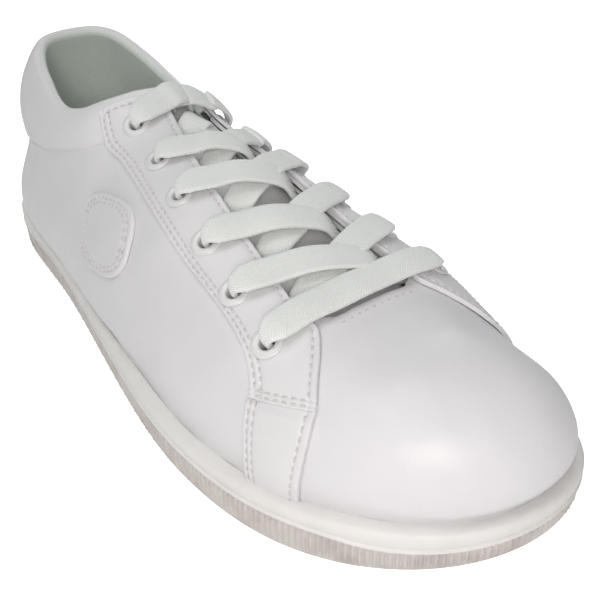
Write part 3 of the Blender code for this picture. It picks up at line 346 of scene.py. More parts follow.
def surface_flat(turn, rise):
    """The upper's surface (x, along, z) on a flat sole."""
    turn, rise = np.broadcast_arrays(np.asarray(turn, float), np.asarray(rise, float))
    base, outward = foot(turn)
    along = base[..., 1]
    top = crest(along)
    low, high = foot_z(along), ridge_z(top[..., 1])
    power = section_power(turn, along)
    angle = clamp(rise) * np.pi / 2
    spread = np.where(rise >= 1, 0.0, np.maximum(np.cos(angle), 1e-12) ** power)
    z = np.where(rise >= 1, high, low + (high - low) * np.sin(angle) ** power)
    bulge_z = lip_z(along) + 0.8
    climb = clamp((z - bulge_z) / np.minimum(BULGE_HEIGHT, 0.9 * (high - bulge_z)))
    swell = (by_side(turn, bulge, along) * np.sin(np.pi * climb ** BULGE_SKEW)
             * clamp(climb / 0.12) ** 0.5)
    swell = (swell - waist(along) * bell(z - WAIST_Z, WAIST_SPREAD)) * np.minimum(1.0, 2.0 * spread)
    plan = top + (base - top) * spread[..., None] + outward * swell[..., None]
    return np.concatenate([plan, z[..., None]], -1)


def to_frame(point):
    """(x, along, z) on a flat sole to the shoe's frame (X, Y, Z), with the toe's lift."""
    x, along, z = np.moveaxis(np.asarray(point, float), -1, 0)
    return np.stack([x, LENGTH / 2 - along, z + toe_spring(along)], -1)


def ridge_normal(along):
    a, b = along - 0.5, np.minimum(along + 0.5, 230.0)
    slope = ridge_z(b) + toe_spring(b) - ridge_z(a) - toe_spring(a)
    slope = slope / np.maximum(b - a, 0.5)
    return unit(np.stack([np.zeros_like(slope), slope, np.ones_like(slope)], -1))


def surface(turn, rise, offset=0.0):
    """Points of the upper's surface moved outwards by offset, and the outward normals."""
    turn, rise = np.broadcast_arrays(np.asarray(turn, float), np.asarray(rise, float))
    turn_step, rise_step = 4e-4, 4e-3
    safe = np.clip(rise, 5e-3, 1 - 8e-3)
    at = lambda turn, rise: to_frame(surface_flat(turn, rise))
    around = at(turn + turn_step, safe) - at(turn - turn_step, safe)
    upward = at(turn, safe + rise_step) - at(turn, safe - rise_step)
    normal = unit(np.cross(around, upward))
    on_ridge = clamp((rise - 0.93) / 0.07)[..., None] ** 2
    normal = normal * (1 - on_ridge) + ridge_normal(crest_along(foot_along(turn))) * on_ridge
    normal = unit(normal)
    return at(turn, rise) + normal * np.asarray(offset, float)[..., None], normal


def turn_at(along, side):
    """turn on a side where the foot of the wall is at along."""
    along = np.asarray(along, float)
    outer = np.interp(along, FOOT_ALONG[:TIP + 1], TURNS[:TIP + 1])
    inner = np.interp(-along, -FOOT_ALONG[TIP:], TURNS[TIP:])
    return np.where(np.asarray(side) < 0, outer, inner)


def rise_at_z(turn, z):
    """rise where the surface, on a flat sole, reaches the height z."""
    along = foot_along(turn)
    low = foot_z(along)
    share = clamp((z - low) / (ridge_z(crest_along(along)) - low))
    return np.arcsin(share ** (1 / section_power(turn, along))) / (np.pi / 2)


def rise_at_gap(turn, gap):
    """rise where the surface is gap from the ridge, seen from above."""
    base, _ = foot(turn)
    along = base[..., 1]
    width = np.linalg.norm(base - crest(along), axis=-1)
    share = clamp(np.abs(gap) / width) ** (1 / section_power(turn, along))
    return np.arccos(share) / (np.pi / 2)


def surface_at(places, side, offset=0.0):
    """Points and normals of the surface at (along, rise) places on a side."""
    return surface(turn_at(places[..., 0], side), places[..., 1], offset)


def surface_by_gap(along, gap, offset=0.0):
    """Points and normals of the surface by along and gap."""
    turn = turn_at(along, np.where(gap < 0, -1.0, 1.0))
    return surface(turn, rise_at_gap(turn, gap), offset)


def throat_edge(alongs, side, inset=0.0):
    """(along, rise) places beside the throat, inset from its edge."""
    alongs = np.asarray(alongs, float)
    rises = rise_at_gap(turn_at(alongs, side), throat[side](alongs) + inset)
    return np.column_stack([alongs, rises])


def eyelet_at(side, row):
    """(along, gap) of an eyelet."""
    along = FIRST_EYELET + EYELET_PITCH * (row - 1)
    return along, side * float(eyelet_gap[side](along))


def wobble(points, amount):
    """The slow unevenness of leather stretched over a last."""
    x, y, z = points[..., 0], points[..., 1], points[..., 2]
    return amount * (0.5 * np.sin(x * 0.11 + y * 0.17 + 1.3) * np.sin(z * 0.15 + y * 0.05)
                     + 0.3 * np.sin(y * 0.33 + z * 0.21 + 0.4)
                     + 0.2 * np.sin(x * 0.42 - y * 0.27 + z * 0.3))


# ---------------------------------------------------------------- materials
def add_node(tree, kind, inputs, output=0, **settings):
    """Adds a shader node, sets or links its inputs, and returns one of its outputs."""
    node = tree.nodes.new("ShaderNode" + kind)
    for key, value in settings.items():
        setattr(node, key, value)
    set_inputs(tree, node, inputs)
    return node.outputs[output]


def set_inputs(tree, node, inputs):
    for key, value in inputs.items():
        if isinstance(value, bpy.types.NodeSocket):
            tree.links.new(value, node.inputs[key])
        else:
            node.inputs[key].default_value = value


class Shader:
    """A material in the making. Each method adds nodes and returns an output."""

    def __init__(self, name):
        self.material = bpy.data.materials.new(name)
        self.material.use_nodes = True
        self.tree = self.material.node_tree

    def set(self, **inputs):
        """Sets or links inputs of the Principled BSDF, with _ for a space in their names."""
        named = {key.replace("_", " "): value for key, value in inputs.items()}
        set_inputs(self.tree, self.tree.nodes["Principled BSDF"], named)

    def coord(self, kind="Object"):
        return add_node(self.tree, "TexCoord", {}, kind)

    def uv_xy(self):
        node = self.tree.nodes.new("ShaderNodeSeparateXYZ")
        self.tree.links.new(self.coord("UV"), node.inputs[0])
        return node.outputs[0], node.outputs[1]

    def noise(self, vector, scale, detail=3.0, roughness=0.55):
        return add_node(self.tree, "TexNoise", {"Scale": scale, "Detail": detail,
                                                "Roughness": roughness, "Vector": vector}, "Fac")

    def pebbles(self, vector, scale):
        return add_node(self.tree, "TexVoronoi", {"Scale": scale, "Vector": vector},
                        "Distance", feature="SMOOTH_F1")

    def math(self, operation, *values):
        return add_node(self.tree, "Math", dict(enumerate(values)), operation=operation)

    def plus(self, a, b):
        return self.math("ADD", a, b)

    def minus(self, a, b):
        return self.math("SUBTRACT", a, b)

    def times(self, a, b):
        return self.math("MULTIPLY", a, b)

    def wave(self, value, period, phase=0.0):
        return self.math("SINE", self.plus(self.times(value, 2 * math.pi / period), phase))

    def remap(self, value, source, target):
        """Maps the source range to the target range."""
        return add_node(self.tree, "MapRange", dict(enumerate((value, *source, *target))))

    def ramp(self, factor, dark_at, dark, light_at, light):
        node = self.tree.nodes.new("ShaderNodeValToRGB")
        for element, position, colour in zip(node.color_ramp.elements, (dark_at, light_at),
                                             (dark, light)):
            element.position = position
            element.color = (*colour, 1)
        self.tree.links.new(factor, node.inputs["Fac"])
        return node.outputs["Color"]

    def bump(self, height, strength, distance, under=None):
        inputs = {"Strength": strength, "Distance": distance, "Height": height}
        if under is not None:
            inputs["Normal"] = under
        return add_node(self.tree, "Bump", inputs, "Normal")

    def uneven(self, vector, scale, detail, middle, less, more):
        """A roughness that varies about its middle value."""
        return self.remap(self.noise(vector, scale, detail), source=(0.3, 0.7),
                          target=(middle - less, middle + more))


def leather(name, dark, light, roughness=0.40, grain=0.5):
    """Smooth coated synthetic leather: fine pebble grain, faint pores, uneven sheen."""
    m = Shader(name)
    v = m.coord()
    m.set(Base_Color=m.ramp(m.noise(v, scale=24.0, detail=4.0), 0.32, dark, 0.68, light))
    m.set(Roughness=m.uneven(v, 130.0, 4.0, roughness, less=0.05, more=0.09))
    pebble = m.pebbles(v, scale=1250.0)
    pores = m.noise(v, scale=3400.0, detail=2.0)
    creases = m.noise(v, scale=420.0, detail=5.0, roughness=0.6)
    height = m.plus(m.times(pebble, 0.8), m.plus(m.times(pores, 0.35), m.times(creases, 0.7)))
    soft = m.bump(m.noise(v, scale=60.0, detail=2.0), strength=0.12, distance=0.0012)
    m.set(Normal=m.bump(height, strength=grain, distance=0.00010, under=soft),
          Coat_Weight=0.12, Coat_Roughness=0.32, Specular_IOR_Level=0.45)
    return m.material


def rubber(name, dark, light, roughness=0.55):
    """Matt moulded rubber: slight mottling, faint scuffs."""
    m = Shader(name)
    v = m.coord()
    spots = m.noise(v, scale=90.0, detail=6.0, roughness=0.65)
    m.set(Base_Color=m.ramp(spots, 0.30, dark, 0.55, light))
    m.set(Roughness=m.uneven(v, 300.0, 3.0, roughness, less=0.06, more=0.12))
    fine = m.noise(v, scale=1500.0, detail=4.0)
    scuffs = m.bump(m.noise(v, scale=220.0), strength=0.2, distance=0.0004)
    m.set(Normal=m.bump(fine, strength=0.35, distance=0.00010, under=scuffs),
          Subsurface_Weight=0.06, Subsurface_Radius=(0.003, 0.003, 0.002))
    return m.material


def textile(name, dark, light, pitch, depth):
    """Brushed spacer mesh: rows of small rounded cells, pitch apart (mm), over soft foam."""
    m = Shader(name)
    x, y = m.uv_xy()
    v = m.coord()
    slant = 0.577   # tangent of 30 degrees
    rising = m.wave(m.plus(x, m.times(y, slant)), pitch)
    falling = m.wave(m.minus(x, m.times(y, slant)), pitch)
    rows = m.wave(y, pitch * 0.866, phase=0.6)
    cell = m.plus(m.plus(rising, falling), rows)
    fibre = m.noise(v, scale=2600.0)
    # colour: darker in the hollows between the cells as painted shade, with random fibre tone on
    # top
    shade = m.plus(m.remap(cell, source=(-2.0, 2.4), target=(0.0, 0.75)), m.times(fibre, 0.35))
    m.set(Base_Color=m.ramp(shade, 0.15, dark, 0.75, light))
    height = m.plus(m.remap(cell, source=(-2.5, 2.5), target=(0.0, 1.0)), m.times(fibre, 0.5))
    m.set(Normal=m.bump(height, strength=0.8, distance=depth),
          Roughness=0.92, Sheen_Weight=0.35, Sheen_Roughness=0.5)
    return m.material


def braid(name, dark, light):
    """Flat braided cotton lace: chevron picks along it, lengthwise ribs and soft fuzz."""
    m = Shader(name)
    x, y = m.uv_xy()
    v = m.coord()
    chevron = m.wave(m.plus(x, m.times(m.math("ABSOLUTE", y), 0.9)), period=0.9)
    cross = m.wave(m.minus(m.times(x, 0.9), m.times(m.math("ABSOLUTE", y), 1.3)), period=0.7)
    ribs = m.wave(y, period=0.8)
    fuzz = m.noise(v, scale=4200.0)
    height = m.plus(m.plus(m.times(chevron, 0.5), m.times(cross, 0.25)),
                    m.plus(m.times(ribs, 0.3), fuzz))
    # colour: darker in the weave's grooves as painted shade, with random fuzz tone
    shade = m.plus(m.times(height, 0.30), 0.3)
    m.set(Base_Color=m.ramp(shade, 0.15, dark, 0.7, light))
    m.set(Normal=m.bump(height, strength=0.55, distance=0.00016),
          Roughness=0.85, Sheen_Weight=0.4, Sheen_Roughness=0.45)
    return m.material


def plain(name, dark, light, roughness, scale, coat=0.0, bump_mm=0.05):
    """One mottled colour with a slight grain; scale is the mottling's."""
    m = Shader(name)
    v = m.coord()
    m.set(Base_Color=m.ramp(m.noise(v, scale, detail=4.0), 0.3, dark, 0.7, light))
    m.set(Roughness=m.uneven(v, scale * 0.6, 3.0, roughness, less=0.05, more=0.07))
    m.set(Normal=m.bump(m.noise(v, scale * 5), strength=0.3, distance=bump_mm * MM),
          Coat_Weight=coat)
    return m.material


LEATHER = leather("white_coated_leather",
                  dark=(0.735, 0.728, 0.748), light=(0.775, 0.768, 0.785))
OVERLAY_LEATHER = leather("white_coated_leather_overlay", dark=(0.745, 0.738, 0.752),
                          light=(0.785, 0.778, 0.79), roughness=0.42, grain=0.6)
SOFT_LEATHER = leather("white_coated_leather_soft", dark=(0.745, 0.745, 0.755),
                       light=(0.785, 0.785, 0.79), roughness=0.46, grain=0.35)
THREAD = plain("sewing_thread", dark=(0.60, 0.575, 0.59), light=(0.72, 0.69, 0.705),
               roughness=0.62, scale=1500.0)
# the wall is the same off-white rubber as the lip; its darker colour is painted shade
WALL_RUBBER_PAINTED_SHADE = rubber("offwhite_rubber_wall_painted_shade", dark=(0.48, 0.445, 0.42), light=(0.62, 0.59, 0.565))
LIP_RUBBER = rubber("offwhite_rubber_lip", dark=(0.75, 0.74, 0.715), light=(0.80, 0.79, 0.77),
                    roughness=0.45)
TREAD_RUBBER = rubber("offwhite_rubber_tread", dark=(0.60, 0.585, 0.55),
                      light=(0.70, 0.69, 0.65))
TAPE = textile("woven_tape", dark=(0.50, 0.55, 0.51), light=(0.65, 0.70, 0.655),
               pitch=0.9, depth=0.00012)
LACE = braid("white_braided_lace", dark=(0.76, 0.785, 0.765), light=(0.90, 0.92, 0.90))
# white mesh, coloured grey-green: the grey is painted shade and the green a painted tint of the
# light
LINING = textile("white_mesh_lining_painted_green_shade", dark=(0.66, 0.725, 0.67), light=(0.82, 0.88, 0.82),
                 pitch=1.0, depth=0.00014)
SOCK = textile("sockliner_textile", dark=(0.34, 0.37, 0.35), light=(0.54, 0.57, 0.54),
               pitch=1.1, depth=0.00025)
ENAMEL = plain("white_enamel", dark=(0.72, 0.72, 0.725), light=(0.77, 0.77, 0.775),
               roughness=0.30, scale=200.0, coat=0.3, bump_mm=0.01)
FOAM = plain("open_foam", dark=(0.66, 0.65, 0.58), light=(0.76, 0.75, 0.68),
             roughness=0.9, scale=900.0, bump_mm=0.2)
BOARD = plain("pressed_fibre_board", dark=(0.46, 0.38, 0.28), light=(0.60, 0.51, 0.39),
              roughness=0.85, scale=500.0, bump_mm=0.1)
PLASTIC = plain("clear_lace_tip", dark=(0.72, 0.73, 0.72), light=(0.78, 0.79, 0.78),
                roughness=0.22, scale=120.0, coat=0.5, bump_mm=0.01)


# ---------------------------------------------------------------- making meshes
def add_object(name, data):
    item = bpy.data.objects.new(name, data)
    bpy.context.scene.collection.objects.link(item)
    return item


def turn_outwards(mesh, merge, recalc):
    """Turns the faces outwards, after merging doubled points if asked."""
    bm = bmesh.new()
    bm.from_mesh(mesh)
    if merge:
        bmesh.ops.remove_doubles(bm, verts=bm.verts, dist=0.003 * MM)
        bmesh.ops.dissolve_degenerate(bm, edges=bm.edges, dist=1e-7)
    if recalc:
        bmesh.ops.recalc_face_normals(bm, faces=bm.faces)
    if bm.calc_volume(signed=True) < 0:
        bmesh.ops.reverse_faces(bm, faces=bm.faces)
    bm.to_mesh(mesh)
    bm.free()


def piece(name, points, faces, materials, uv=None, face_material=None,
          merge=True, recalc=True, sharp=None):
    """An object from points in millimetres; sharp is the angle (degrees) of its creases."""
    mesh = bpy.data.meshes.new(name)
    mesh.from_pydata((np.asarray(points, float) * MM).tolist(), [],
                     [[int(i) for i in face] for face in faces])
    for material in materials:
        mesh.materials.append(material)
    if uv is not None:
        layer = mesh.uv_layers.new(name="UVMap")
        index = np.zeros(len(mesh.loops), np.int32)
        mesh.loops.foreach_get("vertex_index", index)
        layer.data.foreach_set("uv", np.asarray(uv, np.float32)[index].ravel())
    if face_material is not None:
        mesh.polygons.foreach_set("material_index", face_material)
    turn_outwards(mesh, merge, recalc)
    mesh.shade_smooth()
    if sharp:
        mesh.set_sharp_from_angle(angle=math.radians(sharp))
    item = add_object(name, mesh)
    return item


def grid_uv(grid):
    """Arc lengths (mm) along both directions of a grid, for both faces of a sheet."""
    down = np.linalg.norm(np.diff(grid, axis=0), axis=2).mean(1)
    across = np.linalg.norm(np.diff(grid, axis=1), axis=2).mean(0)
    down, across = (np.concatenate([[0], np.cumsum(steps)]) for steps in (down, across))
    uv = np.stack(np.meshgrid(across, down), -1).reshape(-1, 2)
    return np.concatenate([uv, uv])


def sheet(name, inner, outer, material, measure=None, sharp=50,
          back=None):
    """A closed sheet between two grids. UVs come from measure, or else the outer grid.
    back is the inner face's material, where it has its own."""
    rows, columns = inner.shape[:2]
    count = rows * columns
    index = np.arange(count).reshape(rows, columns)
    a, b = index[:-1, :-1].ravel(), index[:-1, 1:].ravel()
    c, d = index[1:, 1:].ravel(), index[1:, :-1].ravel()
    faces = np.concatenate([np.stack([a, b, c, d], 1),
                            count + np.stack([a, d, c, b], 1)]).tolist()
    rim = np.concatenate([index[:, 0], index[-1, 1:], index[-2::-1, -1], index[0, -2:0:-1]])
    for i, j in zip(rim, np.roll(rim, -1)):
        faces.append((i, count + i, count + j, j))
    face_material = None
    if back:
        face_material = np.zeros(len(faces), np.int32)
        face_material[len(a):2 * len(a)] = 1
    points = np.concatenate([outer.reshape(-1, 3), inner.reshape(-1, 3)])
    return piece(name, points, faces, [material, back] if back else [material],
                 uv=grid_uv(outer if measure is None else measure),
                 face_material=face_material, sharp=sharp)


def bridge(first, second, count):
    """Quads between two rings of count points that start at these vertices."""
    here = np.arange(count)
    after = (here + 1) % count
    return np.stack([first + here, first + after, second + after, second + here], 1).tolist()


def band_faces(rings, count, closed=False):
    """Quads between neighbouring rings; closed joins the last to the first."""
    faces = []
    for k in range(rings if closed else rings - 1):
        faces += bridge(k * count, (k + 1) % rings * count, count)
    return faces


def tube_faces(rings, count):
    """Faces of a tube of rings, with both ends capped."""
    last_ring = (rings - 1) * count
    return band_faces(rings, count) + [list(range(count))[::-1],
                                       list(range(last_ring, last_ring + count))]


def bend(item):
    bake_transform(item)


def fit(item, *nodes, rides=None):
    """Replaces nodes of the frame; rides one part, or else has its transform baked in."""
    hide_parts(*nodes)
    if rides:
        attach(item, rides)
    else:
        bend(item)


def punch(item, holes, radius=EYELET_HOLE):
    """Round holes at (centre, normal) pairs."""
    bm = bmesh.new()
    for centre, normal in holes:
        cone = bmesh.ops.create_cone(bm, cap_ends=True, segments=32, radius1=radius * MM,
                                     radius2=radius * MM, depth=14.0 * MM)
        rotation = Vector(normal).to_track_quat("Z", "Y")
        for vert in cone["verts"]:
            vert.co = rotation @ vert.co + Vector(centre) * MM
    mesh = bpy.data.meshes.new("cutter")
    bm.to_mesh(mesh)
    bm.free()
    cutter = add_object("cutter", mesh)
    modifier = item.modifiers.new("holes", "BOOLEAN")
    modifier.operation = "DIFFERENCE"
    modifier.object = cutter
    modifier.solver = "EXACT"
    bpy.context.view_layer.update()
    graph = bpy.context.evaluated_depsgraph_get()
    cut = bpy.data.meshes.new_from_object(item.evaluated_get(graph))
    item.modifiers.clear()
    whole = item.data
    item.data = cut
    bpy.data.meshes.remove(whole)
    bpy.data.objects.remove(cutter, do_unlink=True)
    item.data.shade_smooth()
    item.data.set_sharp_from_angle(angle=math.radians(50))


# ---------------------------------------------------------------- stitches
STITCH_PITCH, STITCH_LENGTH, THREAD_RADIUS = 2.7, 2.05, 0.27
# along a stitch: share of the thread's radius, and height above the leather
STITCH_GIRTH = np.array((0.45, 0.9, 1.0, 1.0, 0.9, 0.45))
STITCH_HEIGHT = np.array((-0.42, 0.02, 0.14, 0.14, 0.02, -0.42))
STITCH_SIDES = 6
stitch_points, stitch_faces = [], []


def stitches(points, normals):
    """Short thread loops along a polyline, each end going down into the leather."""
    lengths = arc_length(points)
    count = int((lengths[-1] - STITCH_LENGTH) / STITCH_PITCH) + 1
    start = (lengths[-1] - ((count - 1) * STITCH_PITCH + STITCH_LENGTH)) / 2
    angle = math.pi / 3 * np.arange(STITCH_SIDES)
    radius = THREAD_RADIUS * STITCH_GIRTH[:, None]
    height = (STITCH_HEIGHT[:, None] + np.sin(angle) * radius)[..., None]
    width = (np.cos(angle) * radius * 1.15)[..., None]
    faces = tube_faces(len(STITCH_GIRTH), STITCH_SIDES)
    for k in range(count):
        places = start + k * STITCH_PITCH + np.linspace(0, STITCH_LENGTH, len(STITCH_GIRTH))
        centre = interp_rows(places, lengths, points)
        normal = unit(interp_rows(places, lengths, normals))
        across = np.cross(normal, unit(np.gradient(centre, axis=0)))
        rings = centre[:, None] + normal[:, None] * height + across[:, None] * width
        base = len(stitch_points)
        stitch_points.extend(rings.reshape(-1, 3))
        stitch_faces.extend([base + i for i in face] for face in faces)


# ---------------------------------------------------------------- overlay panels
EDGE_MARKS = (0.0, 0.08, 0.24, 0.5, 0.85)   # grid lines over a rounded edge
SEAM_MARKS = (-0.9, -0.45, -0.18, 0.0, 0.18, 0.45, 0.9)   # and over a seam's groove
PANEL_STEP = 1.7
PANEL_ROUNDING = 0.55


def grid_marks(seams, reach):
    """Distances from an edge where a panel needs grid lines."""
    marks = list(EDGE_MARKS) + [seam + mark for seam in seams for mark in SEAM_MARKS]
    marks = sorted(mark for mark in marks if mark <= reach)
    keep = [marks[0]]
    for mark in marks[1:]:
        if mark - keep[-1] > 0.07:
            keep.append(mark)
    return np.array(keep)


def panel(name, path_a, path_b, side, seams, uneven=0.18, extra=None):
    """A leather overlay between two (along, rise) paths, with grooves and thread.
    seams gives the distances of the seams from each free border: a and b (the paths),
    s (start) and e (end). extra adds to the height, from along and rise."""
    low, high = OVERLAY_LAYER

    def blend(place, share):
        """(along, rise) at a place along the panel and a share of the way from a to b."""
        at_a, at_b = (interp_rows(place, np.linspace(0, 1, len(path)), path)
                      for path in (path_a, path_b))
        return at_a * (1 - share)[..., None] + at_b * share[..., None]

    def lines_to(key, reach):
        return grid_marks(seams.get(key, ()), reach)

    ends = np.linspace(0, 1, 60)
    middle = sum(surface_at(blend(ends, np.full(60, share)), side, high)[0]
                 for share in (0.0, 1.0)) / 2
    length = np.linalg.norm(np.diff(middle, axis=0), axis=1).sum()
    start, end = lines_to("s", length * 0.45), lines_to("e", length * 0.45)
    steps = max(2, int(round((length - start[-1] - end[-1]) / PANEL_STEP)))
    run = np.concatenate([start, np.linspace(start[-1], length - end[-1], steps + 1)[1:-1],
                          (length - end)[::-1]])
    stations = run / length

    ribs = surface_at(blend(stations[:, None], np.linspace(0, 1, 12)[None]), side, high)[0]
    widths = np.linalg.norm(np.diff(ribs, axis=1), axis=2).sum(1)
    reach = widths.min() * 0.48
    from_a, from_b = lines_to("a", reach), lines_to("b", reach)
    steps = max(2, int(round((np.median(widths) - from_a[-1] - from_b[-1]) / PANEL_STEP)))
    first, last = from_a[-1] / widths, 1 - from_b[-1] / widths
    between = first[:, None] + (last - first)[:, None] * np.linspace(0, 1, steps + 1)[None, 1:-1]
    shares = np.concatenate([from_a[None] / widths[:, None], between,
                             1 - from_b[::-1][None] / widths[:, None]], 1)
    places = blend(stations[:, None], shares)

    distances = {"a": shares * widths[:, None], "b": (1 - shares) * widths[:, None],
                 "s": run[:, None], "e": (length - run)[:, None]}
    drop = np.zeros_like(shares)
    inside = np.full(shares.shape, 1e9)   # distance inside the innermost seams
    for key, distance in distances.items():
        if key not in seams:
            continue
        edge = PANEL_ROUNDING * (1 - quarter_round(distance / PANEL_ROUNDING))
        drop = np.maximum(drop, edge)
        for seam in seams[key]:
            drop = drop + 0.27 * bell(distance - seam, 0.42)
        inside = np.minimum(inside, distance - max(seams[key]))
    puff = 0.3 * (1 - np.exp(-np.clip(inside, 0, None) / 4.0))
    base, normal = surface_at(places, side)
    offset = high - drop + puff + wobble(base, uneven)
    if extra is not None:
        offset = offset + extra(places[..., 0], places[..., 1])
    offset = np.maximum(offset, low + 0.12)
    item = sheet(name, base + normal * low, base + normal * offset[..., None], OVERLAY_LEATHER)

    trim = 2.2   # the thread stops this far from the borders
    for key, distance in [(key, seam) for key in seams for seam in seams[key]]:
        if key in "ab":
            place = np.linspace(0, 1, 160)
            share = distance / np.interp(place, stations, widths)
            share = share if key == "a" else 1 - share
            keep = (place > trim / length) & (place < 1 - trim / length)
        else:
            share = np.linspace(0, 1, 90)
            place = np.full(90, distance / length if key == "s" else 1 - distance / length)
            width = np.interp(place[0], stations, widths)
            keep = (share > trim / width) & (share < 1 - trim / width)
        base, normal = surface_at(blend(place, share)[keep], side)
        stitches(base + normal * (high - 0.12 + wobble(base, uneven))[:, None], normal)
    return item


# ---------------------------------------------------------------- sole
def sole_loop(offset, height, turns):
    """Points round the outline moved outwards by offset, at height(along)."""
    plan, _ = outline(turns, np.zeros(len(turns)) + offset)
    return to_frame(np.column_stack([plan, height(plan[:, 1])]))


def sole_band(name, loops, material):
    """A closed band round the sole through loops of points."""
    count = len(loops[0])
    arc = arc_length(loops[0])
    uv = np.concatenate([np.column_stack([arc, np.full(count, 2.0 * k)])
                         for k in range(len(loops))])
    return piece(name, np.concatenate(loops), band_faces(len(loops), count, closed=True),
                 [material], uv=uv, sharp=42)


def build_wall():
    """The outsole's upright wall, with fine vertical ribs."""
    ribs, rib_depth, valley = 332, 0.78, 0.25
    rib_shape = np.array([0.0, 0.62, 1.0, 1.0, 0.62, 0.0])
    step = np.arange(ribs * len(rib_shape))
    turns = step / len(step)
    rib = rib_shape[step % len(rib_shape)]
    rib = rib * (0.90 + 0.10 * np.sin(step // len(rib_shape) * 2.399))
    # (outwards, height, share of the rib) from the bottom's inside round to the top's
    profile = [
        (-2.4, 0.35, 0), (-1.3, 0.0, 0), (-0.75, 0.05, 0), (-0.35, 0.35, 0), (-0.1, 0.95, 0),
        (-0.08, 1.35, 0.45), (-0.05, 1.9, 1), (-0.02, 4.0, 1), (0.0, 6.5, 1), (0.0, 8.9, 1),
        (-0.05, 9.5, 0.5), (-0.1, 9.85, 0), (-0.3, 10.3, 0), (-2.4, 10.4, 0)]
    fixed = 1.9   # heights above this are squeezed where the joint with the lip is lower

    def height(z):
        if z < 1.95:
            return lambda along: z + 0 * along
        return lambda along: fixed + (z - fixed) * (joint_z(along) - fixed) / 8.9

    loops = [sole_loop(out + rib_depth * share * rib - valley * (share > 0), height(z), turns)
             for out, z, share in profile]
    fit(sole_band("outsole_wall", loops, WALL_RUBBER_PAINTED_SHADE), "outsole_rear", "outsole_fore")


def build_lip():
    """The smooth band above the wall, up to the foot of the upper."""
    turns = np.arange(480) / 480
    inside = -(feather(turns) - 0.95)
    # (outwards, height where the joint is at JOINT_Z)
    lower = [(inside, 10.7), (-0.2, 10.7), (0.35, 10.72), (0.75, 10.95), (0.95, 11.35),
             (0.85, 11.75), (0.5, 11.98), (0.28, 12.15), (0.34, 12.45), (0.55, 12.9)]
    # (outwards, depth below the lip's top)
    top_edge = -0.35
    upper = [(0.72, 2.7), (0.78, 2.0), (0.70, 1.3), (0.48, 0.7), (0.12, 0.28), (top_edge, 0.06)]
    # the ledge inwards: (share of the way in, depth)
    ledge = [(0.15, 0.0), (0.4, 0.0), (0.7, 0.08), (1.0, 0.3)]
    upper += [(top_edge + (inside - top_edge) * share, depth) for share, depth in ledge]
    loops = [sole_loop(out, lambda along: joint_z(along) + z - JOINT_Z, turns)
             for out, z in lower]
    loops += [sole_loop(out, lambda along: lip_z(along) - depth, turns)
              for out, depth in upper]
    fit(sole_band("foxing_lip", loops, LIP_RUBBER), "foxing_rear", "foxing_fore")


def sole_plan(offset):
    """Rear and front end of the outline moved by offset, and its x on each side by along."""
    plan, _ = outline(TURNS, offset)
    x, along = plan.T
    tip = int(np.argmax(along))
    rear = along[np.argmin(np.where((TURNS < 0.1) | (TURNS > 0.9), along, 1e9))]
    outer_along = np.maximum.accumulate(along[:tip + 1])
    inner_along = np.maximum.accumulate(-along[tip:])
    return (rear, along[tip], lambda place: np.interp(place, outer_along, x[:tip + 1]),
            lambda place: np.interp(-place, inner_along, x[tip:]))


def sole_layer(name, offset, bottom, top, material, rows=70, columns=20, dome=0.0):
    """A full-length layer inside the sole, between two heights; dome is its edge's rise."""
    rear, front, left, right = sole_plan(offset)
    along = rear + (front - rear) * spread_out(rows, 0.55)
    along = np.clip(along, rear + 0.15, front - 0.15)
    share = spread_out(columns, 0.5)
    x = left(along)[:, None] * (1 - share) + right(along)[:, None] * share
    along = np.repeat(along[:, None], columns, 1)
    flatness = (clamp(4 * share * (1 - share))[None, :] ** 0.5
                * clamp(np.minimum(along - rear, front - along) / 12) ** 0.5)
    upper = to_frame(np.stack([x, along, top(along) + dome * (1 - flatness)], -1))
    lower = to_frame(np.stack([x, along, bottom(along)], -1))
    fit(sheet(name, lower, upper, material), name + "_rear", name + "_fore")


def above_foot(height):
    return lambda along: foot_z(along) + height


def build_tread():
    """The underside: chevron grooves inside a plain border."""
    rear, front, left, right = sole_plan(-1.5)
    pitch, columns = 6.2, 76
    # one groove as (distance along, share of the groove's depth)
    groove = [(0, 0), (0.5, 1), (1.9, 1), (2.4, 0), (3.6, 0), (4.9, 0)]
    rows = [(rear + inset, 0) for inset in (0.2, 0.8, 1.8, 3.2)]
    k = 0
    while rear + 5.0 + k * pitch < front - 6.0:
        rows += [(rear + 5.0 + k * pitch + step, depth) for step, depth in groove]
        k += 1
    rows += [(front - inset, 0) for inset in (3.4, 1.8, 0.8, 0.2)]
    along, depth = np.array(rows, float).T
    share = spread_out(columns, 0.25)
    left_x, right_x = left(along)[:, None], right(along)[:, None]
    x = left_x * (1 - share) + right_x * share
    rim = np.minimum(np.minimum(x - left_x, right_x - x),
                     np.minimum(along - rear, front - along)[:, None])
    fade = clamp((rim - 3.2) / 2.2)
    zigzag = 2 * np.abs((x / 15.0 + 0.25) % 1.0 - 0.5)
    place = along[:, None] + (zigzag - 0.5) * 6.0 * clamp((rim - 3.5) / 9.0)
    arch = bell(along - 112.0, 17.0)[:, None]   # shallow grooves under the arch, lifted a little
    z = 1.25 * depth[:, None] * fade * (1 - 0.8 * arch) + 0.5 * arch * clamp(rim / 8)
    bottom = to_frame(np.stack([x, place, z], -1))
    top = to_frame(np.stack([x, place, np.full_like(x, 3.5)], -1))
    fit(sheet("outsole_tread", top, bottom, TREAD_RUBBER, sharp=35),
        "outsole_rear", "outsole_fore")


build_wall()
build_lip()
sole_layer("midsole", -2.6, lambda along: 3.8 + 0 * along, above_foot(-0.4), FOAM)
sole_layer("insole_board", -8.8, above_foot(0.0), above_foot(1.4), BOARD)
sole_layer("sockliner_foam", -8.9, above_foot(1.8), above_foot(4.8), FOAM)
sole_layer("sockliner_cover", -8.6, above_foot(5.1), above_foot(5.8), SOCK,
           rows=110, columns=36, dome=1.6)
build_tread()


